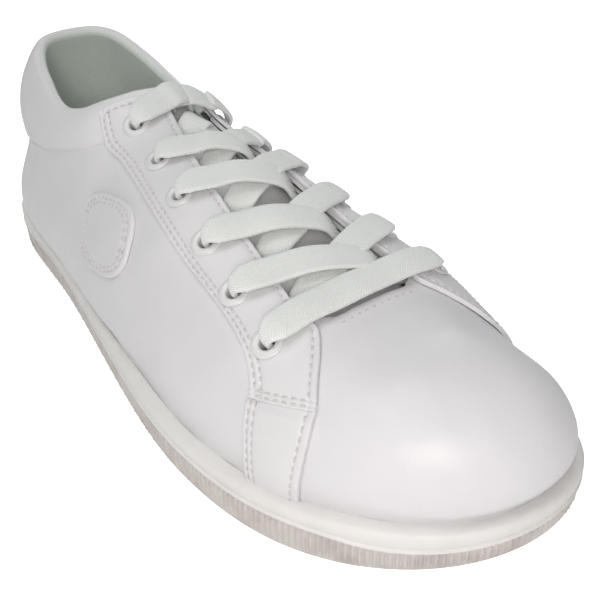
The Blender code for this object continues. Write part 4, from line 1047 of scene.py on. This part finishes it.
# ---------------------------------------------------------------- toe
def toe_rows(rear, rises, columns):
    """Grids of turn and rise round the toe, from rear(rise) on one side to the other."""
    share = np.linspace(0, 1, columns) ** (1 / 1.15)   # denser at the tip
    turns = []
    for rise in rises:
        start = turn_at(rear(rise), -1.0)
        outer = start + (TIP_TURN - start) * share
        turns.append(np.concatenate([outer, turn_at(foot_along(outer[:-1][::-1]), 1.0)]))
    return np.array(turns), np.repeat(np.asarray(rises)[:, None], 2 * columns - 1, axis=1)


def toe_skin(name, rear, rises, columns, layer, material, uneven):
    """A skin over the toe, joined along the ridge."""
    turns, rise_grid = toe_rows(rear, rises, columns)
    base, normal = surface(turns, rise_grid)
    rows, width = turns.shape
    # both rear edges are rounded
    arc = np.zeros((rows, width))
    arc[:, 1:] = np.cumsum(np.linalg.norm(np.diff(base, axis=1), axis=2), 1)
    from_edge = np.minimum(arc, arc[:, -1:] - arc)
    rounding = 0.6
    offset = (layer[1] + wobble(base, uneven)
              - rounding * (1 - quarter_round(from_edge / rounding)))
    outer = base + normal * offset[..., None]
    inner = base + normal * layer[0]

    # both sides' top rows are one line along the ridge, which ends at the apex
    centre = columns - 1
    index = np.arange(rows * width).reshape(rows, width)
    index[-1, centre + 1:] = index[-1, :centre][::-1]
    apex = int(np.argmax(foot_along(turns[-1, :columns]) >= 254.5))
    index[-1, apex:2 * centre - apex + 1] = index[-1, apex]
    count = rows * width
    faces = []

    def face(*corners):
        """Adds a face, without repeated corners, if anything is left of it."""
        corners = [corner for i, corner in enumerate(corners) if corner != corners[i - 1]]
        if len(set(corners)) >= 3:
            faces.append(corners)

    for i in range(rows - 1):
        for j in range(width - 1):
            a, b, c, d = index[i, j], index[i, j + 1], index[i + 1, j + 1], index[i + 1, j]
            face(a, b, c, d)
            face(count + a, count + d, count + c, count + b)
    rim = np.concatenate([index[0], index[1:, -1], index[-2:0:-1, 0]])
    for a, b in zip(rim, np.roll(rim, -1)):
        faces.append((a, count + a, count + b, b))
    points = np.concatenate([outer.reshape(-1, 3), inner.reshape(-1, 3)])
    fit(piece(name, points, faces, [material], uv=grid_uv(outer), sharp=60), name)


def stiffener(name, turns, rises, rides):
    """A board sheet between the outer leather and the lining."""
    inner, outer = (surface(turns, rises, offset)[0] for offset in STIFFENER_LAYER)
    fit(sheet(name, inner, outer, BOARD), name, rides=rides)


toe_skin("vamp", lambda rise: seam_along(rise) + 0.3 + 7.6 * clamp((rise - 0.76) / 0.12),
         np.concatenate([0.9 * np.linspace(0, 1, 48)[:-1] ** 1.3, np.linspace(0.9, 1.0, 7)]),
         60, BASE_LAYER, LEATHER, uneven=0.2)
toe_skin("vamp_lining", lambda rise: max(seam_along(rise) + 0.3, 211.0),
         np.linspace(0, 1, 16), 26, LINING_LAYER, TAPE, uneven=0.0)
stiffener("toe_puff", *toe_rows(lambda rise: 244.0 + 4.0 * rise, np.linspace(0.05, 0.62, 14), 22),
          rides="forefoot")


# ---------------------------------------------------------------- sides
def quarter_top(turn, side):
    """rise of the quarter's top: the collar's seam, then the throat's edge."""
    along = foot_along(turn)
    at_collar = rise_at_z(turn, collar_seam_z[side](along) + 0.6)
    at_throat = rise_at_gap(turn, throat[side](along) + 0.6)
    share = ease((along - 97.0) / 9.0)
    return at_collar * (1 - share) + at_throat * share


def build_quarter(side, tag, holes):
    columns, rows = 130, 48
    share = np.linspace(0, 1, columns)
    share = 0.75 * share + 0.25 * share * share
    heel_slit = 0.0009   # turn left free at the heel's back
    start = heel_slit if side < 0 else 1 - heel_slit
    turns = np.zeros((rows, columns))
    rises = np.zeros((rows, columns))
    for k, climb in enumerate(np.linspace(0, 1, rows) ** 1.25):
        end = turn_at(seam_along(climb * 0.80) - 0.3, side)
        turns[k] = start + (end - start) * share
        rises[k] = climb * quarter_top(turns[k], side)
    base, normal = surface(turns, rises)
    along = foot_along(turns)
    # the collar's seam pulls the leather in
    from_seam = base[..., 2] - collar_seam_z[side](along)
    offset = BASE_LAYER[1] + wobble(base, 0.22) - 0.22 * bell(from_seam, 2.2) * (along < 97)
    item = sheet("quarter_" + tag, base + normal * BASE_LAYER[0],
                 base + normal * offset[..., None], LEATHER, measure=base)
    punch(item, holes)
    fit(item, "quarter_" + tag)


def build_eyestay(side, tag, holes):
    inner = throat_edge(STAY_INNER, side)
    if side < 0:
        inner[-1, 1] = STAY_CORNER_RISE
    item = panel("eyestay_" + tag, surface_path(STAY_OUTER[side], 80),
                 surface_path(np.vstack([inner, STAY_FRONT]), 80), side,
                 seams={"a": (1.9, 4.1), "b": (2.3,), "e": (1.5, 3.3), "s": (2.2,)})
    punch(item, holes)
    fit(item, "eyestay_" + tag)


def saddle_tuck(along, rise):
    """Lowers the saddle's top where it goes under the eyestay."""
    edge = 0.384 + (0.476 - 0.384) * np.clip((along - 210.7) / 20.0, -0.3, 1.2)
    return -0.95 * clamp((rise - edge + 0.012) / 0.014)


def build_saddle(side, tag):
    item = panel("saddle_" + tag, surface_path(SADDLE_REAR, 34), surface_path(SADDLE_FRONT, 34),
                 side, seams={"a": (1.6, 3.4), "b": (2.3,)}, uneven=0.12, extra=saddle_tuck)
    fit(item, "saddle_" + tag)


def build_backer(side, tag, holes):
    """The tape behind the eyestay."""
    rear = 110.5
    outer = np.array(STAY_OUTER[side][2:9]) + (0.0, 0.012)
    outer[0, 0] = rear
    outer = surface_path(outer, 50)
    inner = throat_edge(np.linspace(rear, 202.0, 50), side, inset=1.0)
    share = np.linspace(0, 1, 12)[:, None, None]
    places = outer[None] * (1 - share) + inner[None] * share
    item = sheet("eyestay_backer_" + tag, surface_at(places, side, -2.2)[0],
                 surface_at(places, side, -1.4)[0], TAPE)
    punch(item, holes[1:])
    fit(item, "eyestay_backer_" + tag, rides="rearfoot")


def build_quarter_lining(side, tag, holes):
    """The side's lining, from behind the collar's end to the vamp's seam."""
    top = throat_edge(np.linspace(97.0, 209.5, 60), side, inset=2.4)
    places = np.repeat(top[None], 16, 0)
    places[..., 1] *= np.linspace(0, 1, 16)[:, None]
    inner = surface_at(places, side, LINING_LAYER[0] + 0.2)[0]
    outer = surface_at(places, side, LINING_LAYER[1])[0]
    item = sheet("quarter_lining_" + tag, inner, outer, LINING)
    punch(item, holes, radius=3.0)
    fit(item, "quarter_lining_" + tag)


# section of an eyelet's ring as (radius, height above the surface)
EYELET_PROFILE = [
    (2.35, -2.1), (2.75, -2.1), (2.9, -1.9), (2.95, 2.7), (3.4, 2.72), (4.3, 2.72),
    (4.72, 2.8), (4.88, 3.02), (4.74, 3.28), (4.3, 3.5), (3.7, 3.62), (3.1, 3.6),
    (2.65, 3.42), (2.4, 3.1), (2.33, 2.6)]


def build_eyelets(tag, holes):
    segments = 40
    angle = np.arange(segments) * 2 * np.pi / segments
    faces = band_faces(len(EYELET_PROFILE), segments, closed=True)
    for row, (centre, normal) in enumerate(holes, 1):
        rotation = np.array(Vector(normal).to_track_quat("Z", "Y").to_matrix())
        rings = [np.stack([radius * np.cos(angle), radius * np.sin(angle),
                           np.full(segments, height)]) for radius, height in EYELET_PROFILE]
        points = np.concatenate([centre + (rotation @ ring).T for ring in rings])
        node = "eyelet_%s_%d" % (tag, row)
        item = piece(node + "_ring", points, faces, [ENAMEL], sharp=60)
        fit(item, node, rides="rearfoot")


for side, tag in ((-1, "lateral"), (1, "medial")):
    holes = [surface_by_gap(*eyelet_at(side, row)) for row in range(1, EYELETS + 1)]
    build_quarter(side, tag, holes)
    build_eyestay(side, tag, holes)
    build_saddle(side, tag)
    build_backer(side, tag, holes)
    build_quarter_lining(side, tag, holes)
    build_eyelets(tag, holes)

# ---------------------------------------------------------------- collar and heel
COLLAR_COLUMNS = 170
COLLAR_PUFF = 1.4
COLLAR_FRONT = 101.5    # where the collar's ends lie, along
LINING_BOTTOM = -0.35   # the lining follows the collar down to this climb
OUTSIDE_ROWS, COVER_ROLL_ROWS = 22, 10   # rows of the cover below and over the top


# climb: 0 at the collar's seam, 1 at its top line
def heel_turns(end, count):
    """Turns round the heel, from end on the inner side to end on the outer side."""
    inner, outer = turn_at(end, 1.0) - 1.0, turn_at(end, -1.0)
    share = np.linspace(-1, 1, count)
    share = 0.7 * share + 0.3 * share ** 3
    return np.where(share < 0, -inner * share, outer * share)


def collar_dip(climb):
    """How far the padding pushes the lining inwards."""
    return (1.0 * ease(climb / 0.25 + 1)
            + 1.2 * np.sin(np.pi * clamp(climb)) ** 0.8)


def padding(turn):
    """1 where the collar is padded, 0 where its front ends lie flat under the eyestay."""
    return ease((98.0 - foot_along(turn)) / 10.5)


def collar_rise(turn, climb):
    """rise at climb up the collar, kept outside the throat's edge."""
    along = foot_along(turn)
    z = (by_side(turn, collar_seam_z, along) * (1 - climb)
         + by_side(turn, topline_z, along) * climb)
    edges = {side: (lambda along, side=side: rise_at_gap(turn, throat[side](along) + 0.9))
             for side in (-1, 1)}
    limit = np.where(along > 88.0, by_side(turn, edges, along), 1.0)
    return np.minimum(rise_at_z(turn, z), limit)


def collar_offsets(climb):
    """Offset of the collar's outside: its skin, and the padding's share."""
    lip = 0.55 * (1 - np.exp(-(climb / 0.045) ** 1.2))
    puff = COLLAR_PUFF * np.sin(np.pi * (climb * 0.90 + 0.10)) ** 0.75
    return 0.35 + lip - 0.8 * bell(climb, 0.05), puff


def collar_outside(turn, climb):
    base, normal = surface(turn, collar_rise(turn, climb))
    skin, puff = collar_offsets(climb)
    return base + normal * (skin + puff * padding(turn) + wobble(base, 0.15))[..., None]


def collar_roll(turn, angle):
    """A row over the collar's top, from angle 0 outside to pi inside."""
    padded = padding(turn)
    rise = collar_rise(turn, 1.0)
    base, normal = surface(turn, rise)
    upward = unit(base - surface(turn, rise - 0.02)[0])
    outside = sum(collar_offsets(1.0))
    inside = -2.4 * (1 - padded) + (-2.9 - collar_dip(1.0)) * padded
    middle, radius = (outside + inside) / 2, (outside - inside) / 2
    lift = 2.3 * math.sin(angle) * (0.25 + 0.75 * padded)
    return (base + normal * (middle + radius * math.cos(angle))[..., None]
            + upward * lift[..., None])


def grid_normals(grid, row, centre):
    """Unit normals of a grid, turned so that those of a row point away from centre."""
    normals = unit(np.cross(np.gradient(grid, axis=0), np.gradient(grid, axis=1)), floor=1e-9)
    away = np.mean(np.sum(normals[row] * (grid[row] - centre), -1))
    return normals if away > 0 else -normals


def build_collar():
    """The collar's leather cover, and the lining from its top down to the sockliner."""
    turns = heel_turns(COLLAR_FRONT, COLLAR_COLUMNS)
    rows = [collar_outside(turns, climb) for climb in np.linspace(0, 1, OUTSIDE_ROWS)]
    rows += [collar_roll(turns, angle) for angle in np.linspace(0, np.pi, 15)[1:]]
    grid = np.array(rows)
    centre = grid.reshape(-1, 3).mean(0)
    cut = OUTSIDE_ROWS + COVER_ROLL_ROWS
    inner = grid - 0.9 * grid_normals(grid, 4, centre)
    cover = sheet("collar_cover", inner[:cut], grid[:cut], SOFT_LEATHER, sharp=60)
    fit(cover, "collar_cover", rides="rearfoot")

    rows = rows[cut - 3:]
    padded = padding(turns)
    flat = LINING_LAYER[1] - 0.1 + (1 - padded) * 0.5
    for climb in np.linspace(1.0, LINING_BOTTOM, 26)[1:]:
        base, normal = surface(turns, collar_rise(turns, climb))
        offset = flat - collar_dip(climb) * padded + wobble(base * 1.7, 0.25)
        rows.append(base + normal * offset[..., None])
    bottom = collar_rise(turns, LINING_BOTTOM)
    for share in np.linspace(1, 0, 16)[1:]:
        rows.append(surface(turns, bottom * share, flat)[0])
    grid = np.array(rows)
    normals = grid_normals(grid, 8, centre)
    lining = sheet("heel_lining", grid + normals * 0.55, grid - normals * 0.15, LINING,
                   measure=grid, sharp=60)
    fit(lining, "heel_lining", rides="rearfoot")


def build_heel_counter():
    turns = heel_turns(76.0, 70)
    rises = np.linspace(0.0, 1.0, 16)[:, None] ** 1.3 * rise_at_z(turns, 40.0)[None]
    stiffener("heel_counter", np.repeat(turns[None], 16, 0), rises, rides="rearfoot")


def build_back_stay():
    """The strip over the heel's back seam, with a row of stitches down each side."""
    half_width = 0.0125   # in turns
    mm_per_turn = 660.0
    seam = 2.0
    turns = np.linspace(half_width, -half_width, 25)[None] + np.zeros((34, 1))
    climb = np.linspace(0, 1, 34)[:, None]
    base, normal = surface(turns, rise_at_z(turns, 18.0 + (47.4 - 18.0) * climb))
    from_edge = np.minimum((half_width - np.abs(turns)) * mm_per_turn, (1 - climb) * 29)
    offset = 1.25 + quarter_round(from_edge / 0.8) - 0.2 * bell(from_edge - seam, 0.5)
    item = sheet("back_stay", base + normal * 1.05, base + normal * offset[..., None],
                 OVERLAY_LEATHER, measure=base)
    fit(item, "back_stay", rides="rearfoot")
    for sign in (-1, 1):
        turns = np.full(60, sign * (half_width - seam / mm_per_turn))
        base, normal = surface(turns, rise_at_z(turns, np.linspace(22.0, 46.0, 60)))
        stitches(base + normal * 2.15, normal)


build_collar()
build_heel_counter()
build_back_stay()


# ---------------------------------------------------------------- raised mark, outer side
def emblem_ring(size, count=96):
    """A rounded, slanted ring on the outer side, as a share of the mark's full size."""
    angle = np.linspace(0, 2 * np.pi, count, endpoint=False)
    across, up = (np.sign(part) * np.abs(part) ** 0.75 for part in (np.cos(angle), np.sin(angle)))
    turn = turn_at(118.0 + size * (19.0 * across - 4.0 * up), -1.0)
    return surface(turn, rise_at_z(turn, 45.0 + size * (11.0 * up + 3.0 * across)))


def build_emblem():
    sizes = [1.0, 0.995, 0.985, 0.965, 0.94, 0.90, 0.86, 0.84, 0.82, 0.79, 0.76, 0.74, 0.72,
             0.68, 0.6, 0.5, 0.38, 0.25, 0.12]
    seams = (0.86, 0.76)
    count = 96
    rings = []
    for size in sizes:
        base, normal = emblem_ring(size)
        height = 1.35 + 0.95 * quarter_round((1 - size) * 11.0 / 0.5) + 0.5 * (1 - size) ** 0.8
        height -= sum(0.28 * bell(size - seam, 0.022) for seam in seams)
        rings.append(base + normal * (height + wobble(base, 0.15))[:, None])
    under = []
    for size in (1.0, 0.5):
        base, normal = emblem_ring(size)
        under.append(base + normal * 1.1)
    points = np.concatenate(rings + [rings[-1].mean(0)[None]] + under
                            + [under[-1].mean(0)[None]])

    def fan(start, centre):
        return [(start + j, start + (j + 1) % count, centre) for j in range(count)]

    centre = len(rings) * count
    low = centre + 1
    faces = (band_faces(len(rings), count) + fan(centre - count, centre)
             + bridge(0, low, count) + bridge(low, low + count, count)
             + fan(low + count, low + 2 * count))
    item = piece("side_emblem", points, faces, [OVERLAY_LEATHER], sharp=60)
    fit(item, "side_emblem", rides="rearfoot")
    for seam in seams:
        base, normal = (np.vstack([part, part[:1]]) for part in emblem_ring(seam, count=240))
        stitches(base + normal * 2.25, normal)


build_emblem()


# ---------------------------------------------------------------- tongue
def build_tongue():
    """The tongue as one padded body, with leather outside and lining inside."""
    rows, columns = 96, 44
    top, bottom = 92.8, 216.4   # its ends, along
    along = top + (bottom - top) * np.linspace(0, 1, rows)
    outer_gap, inner_gap = throat[-1](along) + 7.8, throat[1](along) + 7.8
    taper = 1 - 0.35 * clamp((along - 200) / 12)
    round_top = np.sqrt(np.clip(1 - (1 - clamp((along - top) / 9.0)) ** 2.2, 0.03, 1))
    across = 2 * spread_out(columns, 0.5) - 1
    middle = ((inner_gap - outer_gap) / 2)[:, None]
    half = ((outer_gap + inner_gap) / 2 * taper * (0.72 + 0.28 * round_top))[:, None]
    gap = middle + half * across[None]
    along = np.repeat(along[:, None], columns, 1)
    core, normal = surface_by_gap(along, gap, -7.2)
    edge = np.minimum((1 - np.abs(across))[None] * half, along - top)
    edge = np.minimum(edge, bottom - along + 1.0)
    fullness = quarter_round(edge / 3.6)
    # pressed down under each lace, with a swelling near the top
    pressed = sum(bell(along - (eyelet_at(1, row)[0] - 6.0), 4.5)
                  for row in range(1, EYELETS + 1))
    central = np.exp(-((gap - middle) / (0.75 * half)) ** 4)
    height = fullness * (2.25 + 0.55 * central - 0.5 * pressed * (along > 99) * central
                         + 0.9 * bell(along - 97.5, 4.0) + wobble(core * 1.6, 0.35))
    height = height - 0.35 * bell(edge - 5.0, 0.7)
    item = sheet("tongue_pad", core - normal * (2.2 * fullness)[..., None],
                 core + normal * height[..., None], SOFT_LEATHER, measure=core, sharp=70,
                 back=LINING)
    fit(item, "tongue_outer", "tongue_foam", "tongue_lining", rides="tongue")


build_tongue()

# ---------------------------------------------------------------- lace: one flat strand
# Out of an eyelet and on to its edge: (distance towards the ridge, offset, width, thickness)
LIFT = [(0, 0.4, *HOLE_SECTION), (0, 3.9, *HOLE_SECTION), (0.9, 5.6, 4.4, 1.7),
        (3.2, 5.9, 7.0, 1.4), (6.5, 5.3, LACE_WIDTH, LACE_THICK)]


def line_between(start, end):
    """along as a function of gap on the straight line between two (along, gap) points."""
    return lambda gap: start[0] + (end[0] - start[0]) * (gap - start[1]) / (end[1] - start[1])


def over_path(side, row, other, last_row=False):
    """Controls (along, gap, offset, width, thickness) from an eyelet, over its own edge of
    the throat, across, and under the other side's edge to that side's eyelet other.
    The last row ends tucked in at the throat's end."""
    start = eyelet_at(side, row)
    if last_row:
        end = THROAT_END, -side * (throat[-side](THROAT_END) + 1.9)
    else:
        end = eyelet_at(-side, other)
    line = line_between(start, end)
    near = throat[side](start[0])
    far = throat[-side](end[0])
    if not last_row:
        far = throat[-side](line(-side * far) - 4.5)
    over = 1.0 if side < 0 else 0.0   # the strand from the outer side crosses on top
    low = 0.25 if side > 0 else 0.0
    flat = (LACE_WIDTH, LACE_THICK)
    rows = [(start[1] - side * inward, *rest) for inward, *rest in LIFT]
    rows += [(side * near, 4.6, *flat),
             (side * near * 0.45, 3.2 + 1.9 * over, *flat),
             (-side * far * 0.1, 1.5 + 2.6 * over, *flat),
             (-side * max(far - 7.5, far * 0.3), 0.6 + 1.8 * over, *flat),
             (-side * (far - 3.2), -1.6, *flat)]
    if last_row:
        rows += [(-side * (far - 0.8), -3.1, 7.6, LACE_THICK), (end[1], -4.05, 2.6, 0.8)]
    else:
        rows += [(-side * (far - 0.8), -3.6 - low, 8.2, LACE_THICK),
                 (-side * (far + 2.4), -3.75 - low, 7.2, LACE_THICK),
                 (end[1] + side * 3.6, -3.75 - low, 5.0, 1.2),
                 (end[1] + side * 1.2, -3.5, 3.4, 1.5), (end[1], -2.1, *HOLE_SECTION)]
    return [(line(gap), gap, *rest) for gap, *rest in rows]


def under_path(side, row):
    """Controls from below an eyelet, under both edges of the throat, to below the other
    side's next eyelet."""
    start, end = eyelet_at(side, row), eyelet_at(-side, row - 1)
    line = line_between(start, end)
    near, far = throat[side](start[0]), throat[-side](end[0])
    near = throat[side](line(side * near) - 4.5)
    far = throat[-side](max(line(-side * far) - 4.5, THROAT_END))
    lift = 0.7 if side < 0 else -0.7
    flat = (LACE_WIDTH, LACE_THICK)
    rows = [(start[1], -2.1, *HOLE_SECTION), (start[1] - side * 1.2, -3.5, 3.4, 1.5),
            (start[1] - side * 3.6, -3.75, 5.4, 1.2),
            (side * (near + 2.4), -3.75, 7.4, LACE_THICK),
            (side * (near - 0.8), -3.6, 8.2, LACE_THICK),
            (side * (near - 3.6), -2.2, *flat),
            (side * (near - far) * 0.5, -0.9 + lift, *flat),
            (-side * (far - 3.6), -2.0, *flat),
            (-side * (far - 0.8), -3.3, 8.2, LACE_THICK),
            (-side * (far + 2.4), -3.5, 7.2, LACE_THICK),
            (end[1] + side * 3.6, -3.55, 5.2, 1.2), (end[1] + side * 1.2, -3.5, 3.4, 1.5),
            (end[1], -2.1, *HOLE_SECTION)]
    return [(line(gap), gap, *rest) for gap, *rest in rows]


def chain(side):
    """From below the foremost eyelet of a side to the end tucked in at the ankle."""
    controls = []
    for row in range(EYELETS, 2, -1):
        controls += over_path(-side, row - 1, row)[::-1]
        side = -side
    return controls + under_path(side, 2) + over_path(-side, 1, 1, last_row=True)


def lace_controls():
    """Controls of the whole lace: a chain, the bar over the foremost eyelets, a chain."""
    along, outer_gap = eyelet_at(-1, EYELETS)
    inner_gap = eyelet_at(1, EYELETS)[1]
    flat = (LACE_WIDTH, LACE_THICK)
    bar = [(outer_gap + inward, *rest) for inward, *rest in LIFT]
    bar.append((-throat[-1](along), 4.6, *flat))
    bar += [(outer_gap + (inner_gap - outer_gap) * share, 3.1, *flat)
            for share in (0.34, 0.5, 0.66)]
    bar.append((throat[1](along), 4.6, *flat))
    bar += [(inner_gap - inward, *rest) for inward, *rest in LIFT[::-1]]
    return np.array(chain(-1)[::-1] + [(along, *rest) for rest in bar] + chain(1), float)


def lace_directions(points, normals, widths):
    """The direction across the lace at each control."""
    count = len(points)
    run = np.array([points[min(count - 1, k + 3)] - points[max(0, k - 3)]
                    for k in range(count)])
    across = np.cross(normals, unit(square_to(run, normals), floor=1e-9))
    across *= np.where(across[:, 1] < 0, -1.0, 1.0)[:, None]
    # the strand turns back on itself at a hole, so the nearest flat part's direction is used
    flat = [k for k in range(count) if widths[k] > 6.9]
    for k in set(range(count)) - set(flat):
        near = min(flat, key=lambda q: (abs(k - q), q))
        across[k] = across[near] - np.dot(across[near], normals[k]) * normals[k]
    return unit(across)


def centripetal_curve(points, step=0.45):
    """Centripetal Catmull-Rom through points: even points, their places, their lengths."""
    knots = np.vstack([2 * points[0] - points[1], points, 2 * points[-1] - points[-2]])
    count = 16
    curve, places = [], []
    for i in range(1, len(knots) - 2):
        p0, p1, p2, p3 = knots[i - 1:i + 3]
        spans = [max(np.linalg.norm(b - a) ** 0.5, 1e-4)
                 for a, b in ((p0, p1), (p1, p2), (p2, p3))]
        t0, t1, t2, t3 = np.concatenate([[0.0], np.cumsum(spans)])
        time = np.linspace(t1, t2, count, endpoint=False)[:, None]

        def mix(a, b, start, end):
            return (end - time) / (end - start) * a + (time - start) / (end - start) * b

        a1, a2, a3 = mix(p0, p1, t0, t1), mix(p1, p2, t1, t2), mix(p2, p3, t2, t3)
        curve.append(mix(mix(a1, a2, t0, t2), mix(a2, a3, t1, t3), t1, t2))
        places.append(i - 1 + np.linspace(0, 1, count, endpoint=False))
    curve = np.vstack(curve + [knots[-2][None]])
    places = np.concatenate(places + [[len(points) - 1.0]])
    lengths = arc_length(curve)
    arc = np.linspace(0, lengths[-1], int(lengths[-1] / step))
    return interp_rows(arc, lengths, curve), np.interp(arc, lengths, places), arc


def smooth(values):
    """Running average along the lace, of one value or of each column."""
    if values.ndim > 1:
        return np.stack([smooth(column) for column in values.T], 1)
    kernel = np.hanning(9)
    kernel /= kernel.sum()
    return np.convolve(np.pad(values, 4, mode="edge"), kernel, mode="valid")


def build_lace():
    controls = lace_controls()
    points, normals = surface_by_gap(controls[:, 0], controls[:, 1], controls[:, 2])
    directions = lace_directions(points, normals, controls[:, 3])
    centres, places, arc = centripetal_curve(points)
    index = np.arange(len(points))
    offset, width, thick = interp_rows(places, index, controls[:, 2:]).T
    width, thick = smooth(width), smooth(thick)
    tangent = unit(smooth(np.gradient(centres, axis=0)))
    across = unit(square_to(smooth(interp_rows(places, index, directions)), tangent))
    upward = np.cross(tangent, across)

    # the parts in sight are fuller than those below the surface
    wide = clamp((width - 4.0) / 4.0)
    seen = smooth((offset > -2.5).astype(float))
    fuller = np.interp(width, [0, 3.2, 4.4, 7.0, 9.2], [0, 3.3, 6.0, 9.6, 10.4])
    width = width * (1 - seen) + fuller * seen
    width = (width * (1 + 0.02 * np.sin(arc * 0.21) * wide))[:, None]
    thick = (thick * (1 + 0.55 * seen * wide))[:, None]
    wide = wide[:, None]

    section = 26
    angle = np.arange(section) * 2 * np.pi / section
    level, plumb = (np.sign(part) * np.abs(part) ** 0.62
                    for part in (np.cos(angle), np.sin(angle)))
    x = level[None] * width / 2
    picks = 0.055 * np.sin(2 * np.pi * (arc[:, None] + 0.9 * np.abs(x)) / 1.8) * wide
    selvedge = 0.10 * bell(np.abs(x) - width * 0.43, 0.5) * wide
    y = plumb[None] * (thick / 2 + (picks + selvedge) * (np.abs(plumb) > 0.3)[None])
    y = y - (0.035 * x ** 2 * wide) * 0.35   # the sides droop
    rings = centres[:, None] + across[:, None] * x[..., None] + upward[:, None] * y[..., None]
    uv = np.stack([np.repeat(arc[:, None], section, 1), x], -1).reshape(-1, 2)
    item = piece("lace", rings.reshape(-1, 3), tube_faces(len(centres), section), [LACE],
                 uv=uv, merge=False, recalc=False)
    fit(item, "lace", rides="rearfoot")


build_lace()

# ---------------------------------------------------------------- kept pieces, stitching
for name, material in (("aglet_a", PLASTIC), ("aglet_b", PLASTIC), ("collar_foam", FOAM)):
    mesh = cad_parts[name].data
    mesh.materials.clear()
    mesh.materials.append(material)
    if material is PLASTIC:
        mesh.shade_smooth()

# a last seam along the vamp's edge over the tongue, then all the stitches as one object
base, normal = surface_by_gap(214.3, np.linspace(-14.5, 12.5, 60))
stitches(base + normal * 0.9, normal)
bend(piece("stitching", stitch_points, stitch_faces, [THREAD], merge=False))


# ---------------------------------------------------------------- stage, light and camera
def camera_ray_switch(tree, otherwise, camera):
    """One value for camera rays and another for all other rays."""
    ray = add_node(tree, "LightPath", {}, "Is Camera Ray")
    return add_node(tree, "MapRange", {"To Min": otherwise, "To Max": camera, "Value": ray},
                    "Result")


def build_floor():
    z = -0.0002
    mesh = bpy.data.meshes.new("floor")
    mesh.from_pydata([(-3, -3, z), (3, -3, z), (3, 3, z), (-3, 3, z)], [], [(0, 1, 2, 3)])
    floor = add_object("floor", mesh)
    m = Shader("pale_floor")
    m.set(Base_Color=(0.92, 0.92, 0.92, 1), Roughness=0.9, Specular_IOR_Level=0.1,
          Emission_Color=(1, 1, 1, 1),
          Emission_Strength=camera_ray_switch(m.tree, otherwise=0.12, camera=0.85))
    mesh.materials.append(m.material)


def build_world():
    world = bpy.data.worlds.new("studio")
    bpy.context.scene.world = world
    world.use_nodes = True
    tree = world.node_tree
    set_inputs(tree, tree.nodes["Background"], {
        "Color": (0.97, 0.985, 1.0, 1),
        "Strength": camera_ray_switch(tree, otherwise=0.27, camera=1.6)})


def area_light(name, location, target, size, power, colour):
    """A square area light aimed at target; size in metres, power in watts."""
    data = bpy.data.lights.new(name, "AREA")
    data.energy = power
    data.color = colour
    data.shape = "RECTANGLE"
    data.size = data.size_y = size
    light = bpy.data.objects.new(name, data)
    light.location = location
    aim = Vector(target) - Vector(location)
    light.rotation_euler = aim.to_track_quat("-Z", "Y").to_euler()
    bpy.context.scene.collection.objects.link(light)


def build_camera():
    """A camera above the outer side of the toe, looking back and down."""
    data = bpy.data.cameras.new("camera")
    data.sensor_width = 36.0
    data.lens = 51.081
    data.clip_start = 0.01
    camera = add_object("camera", data)
    azimuth, elevation, roll = (math.radians(angle) for angle in (-35.53, 33.65, -1.38))
    distance = 0.30015
    target = Vector((0.01537, -0.02079, 0.01876))
    back = Vector((math.sin(azimuth) * math.cos(elevation),
                   -math.cos(azimuth) * math.cos(elevation), math.sin(elevation)))
    level = Vector((math.cos(azimuth), math.sin(azimuth), 0))
    plumb = back.cross(level)
    right = level * math.cos(roll) + plumb * math.sin(roll)
    upward = -level * math.sin(roll) + plumb * math.cos(roll)
    pose = Matrix((right, upward, back)).transposed().to_4x4()
    pose.translation = target + back * distance
    camera.matrix_world = pose
    bpy.context.scene.camera = camera


build_floor()
build_world()
area_light("key_camera", location=(-0.23, -0.34, 0.25), target=(0.01, -0.07, 0.03),
           size=0.18, power=0.86, colour=(1.0, 0.936, 0.912))
area_light("fill_back", location=(0.45, 0.55, 0.22), target=(0.0, 0.02, 0.04),
           size=0.45, power=1.3, colour=(0.97, 0.98, 1.0))
area_light("top", location=(-0.22, 0.06, 0.85), target=(0.0, 0.0, 0.03),
           size=0.6, power=2.2, colour=(0.97, 1.0, 0.975))
build_camera()
bpy.context.scene.view_settings.view_transform = "Standard"
bpy.context.scene.view_settings.look = "None"
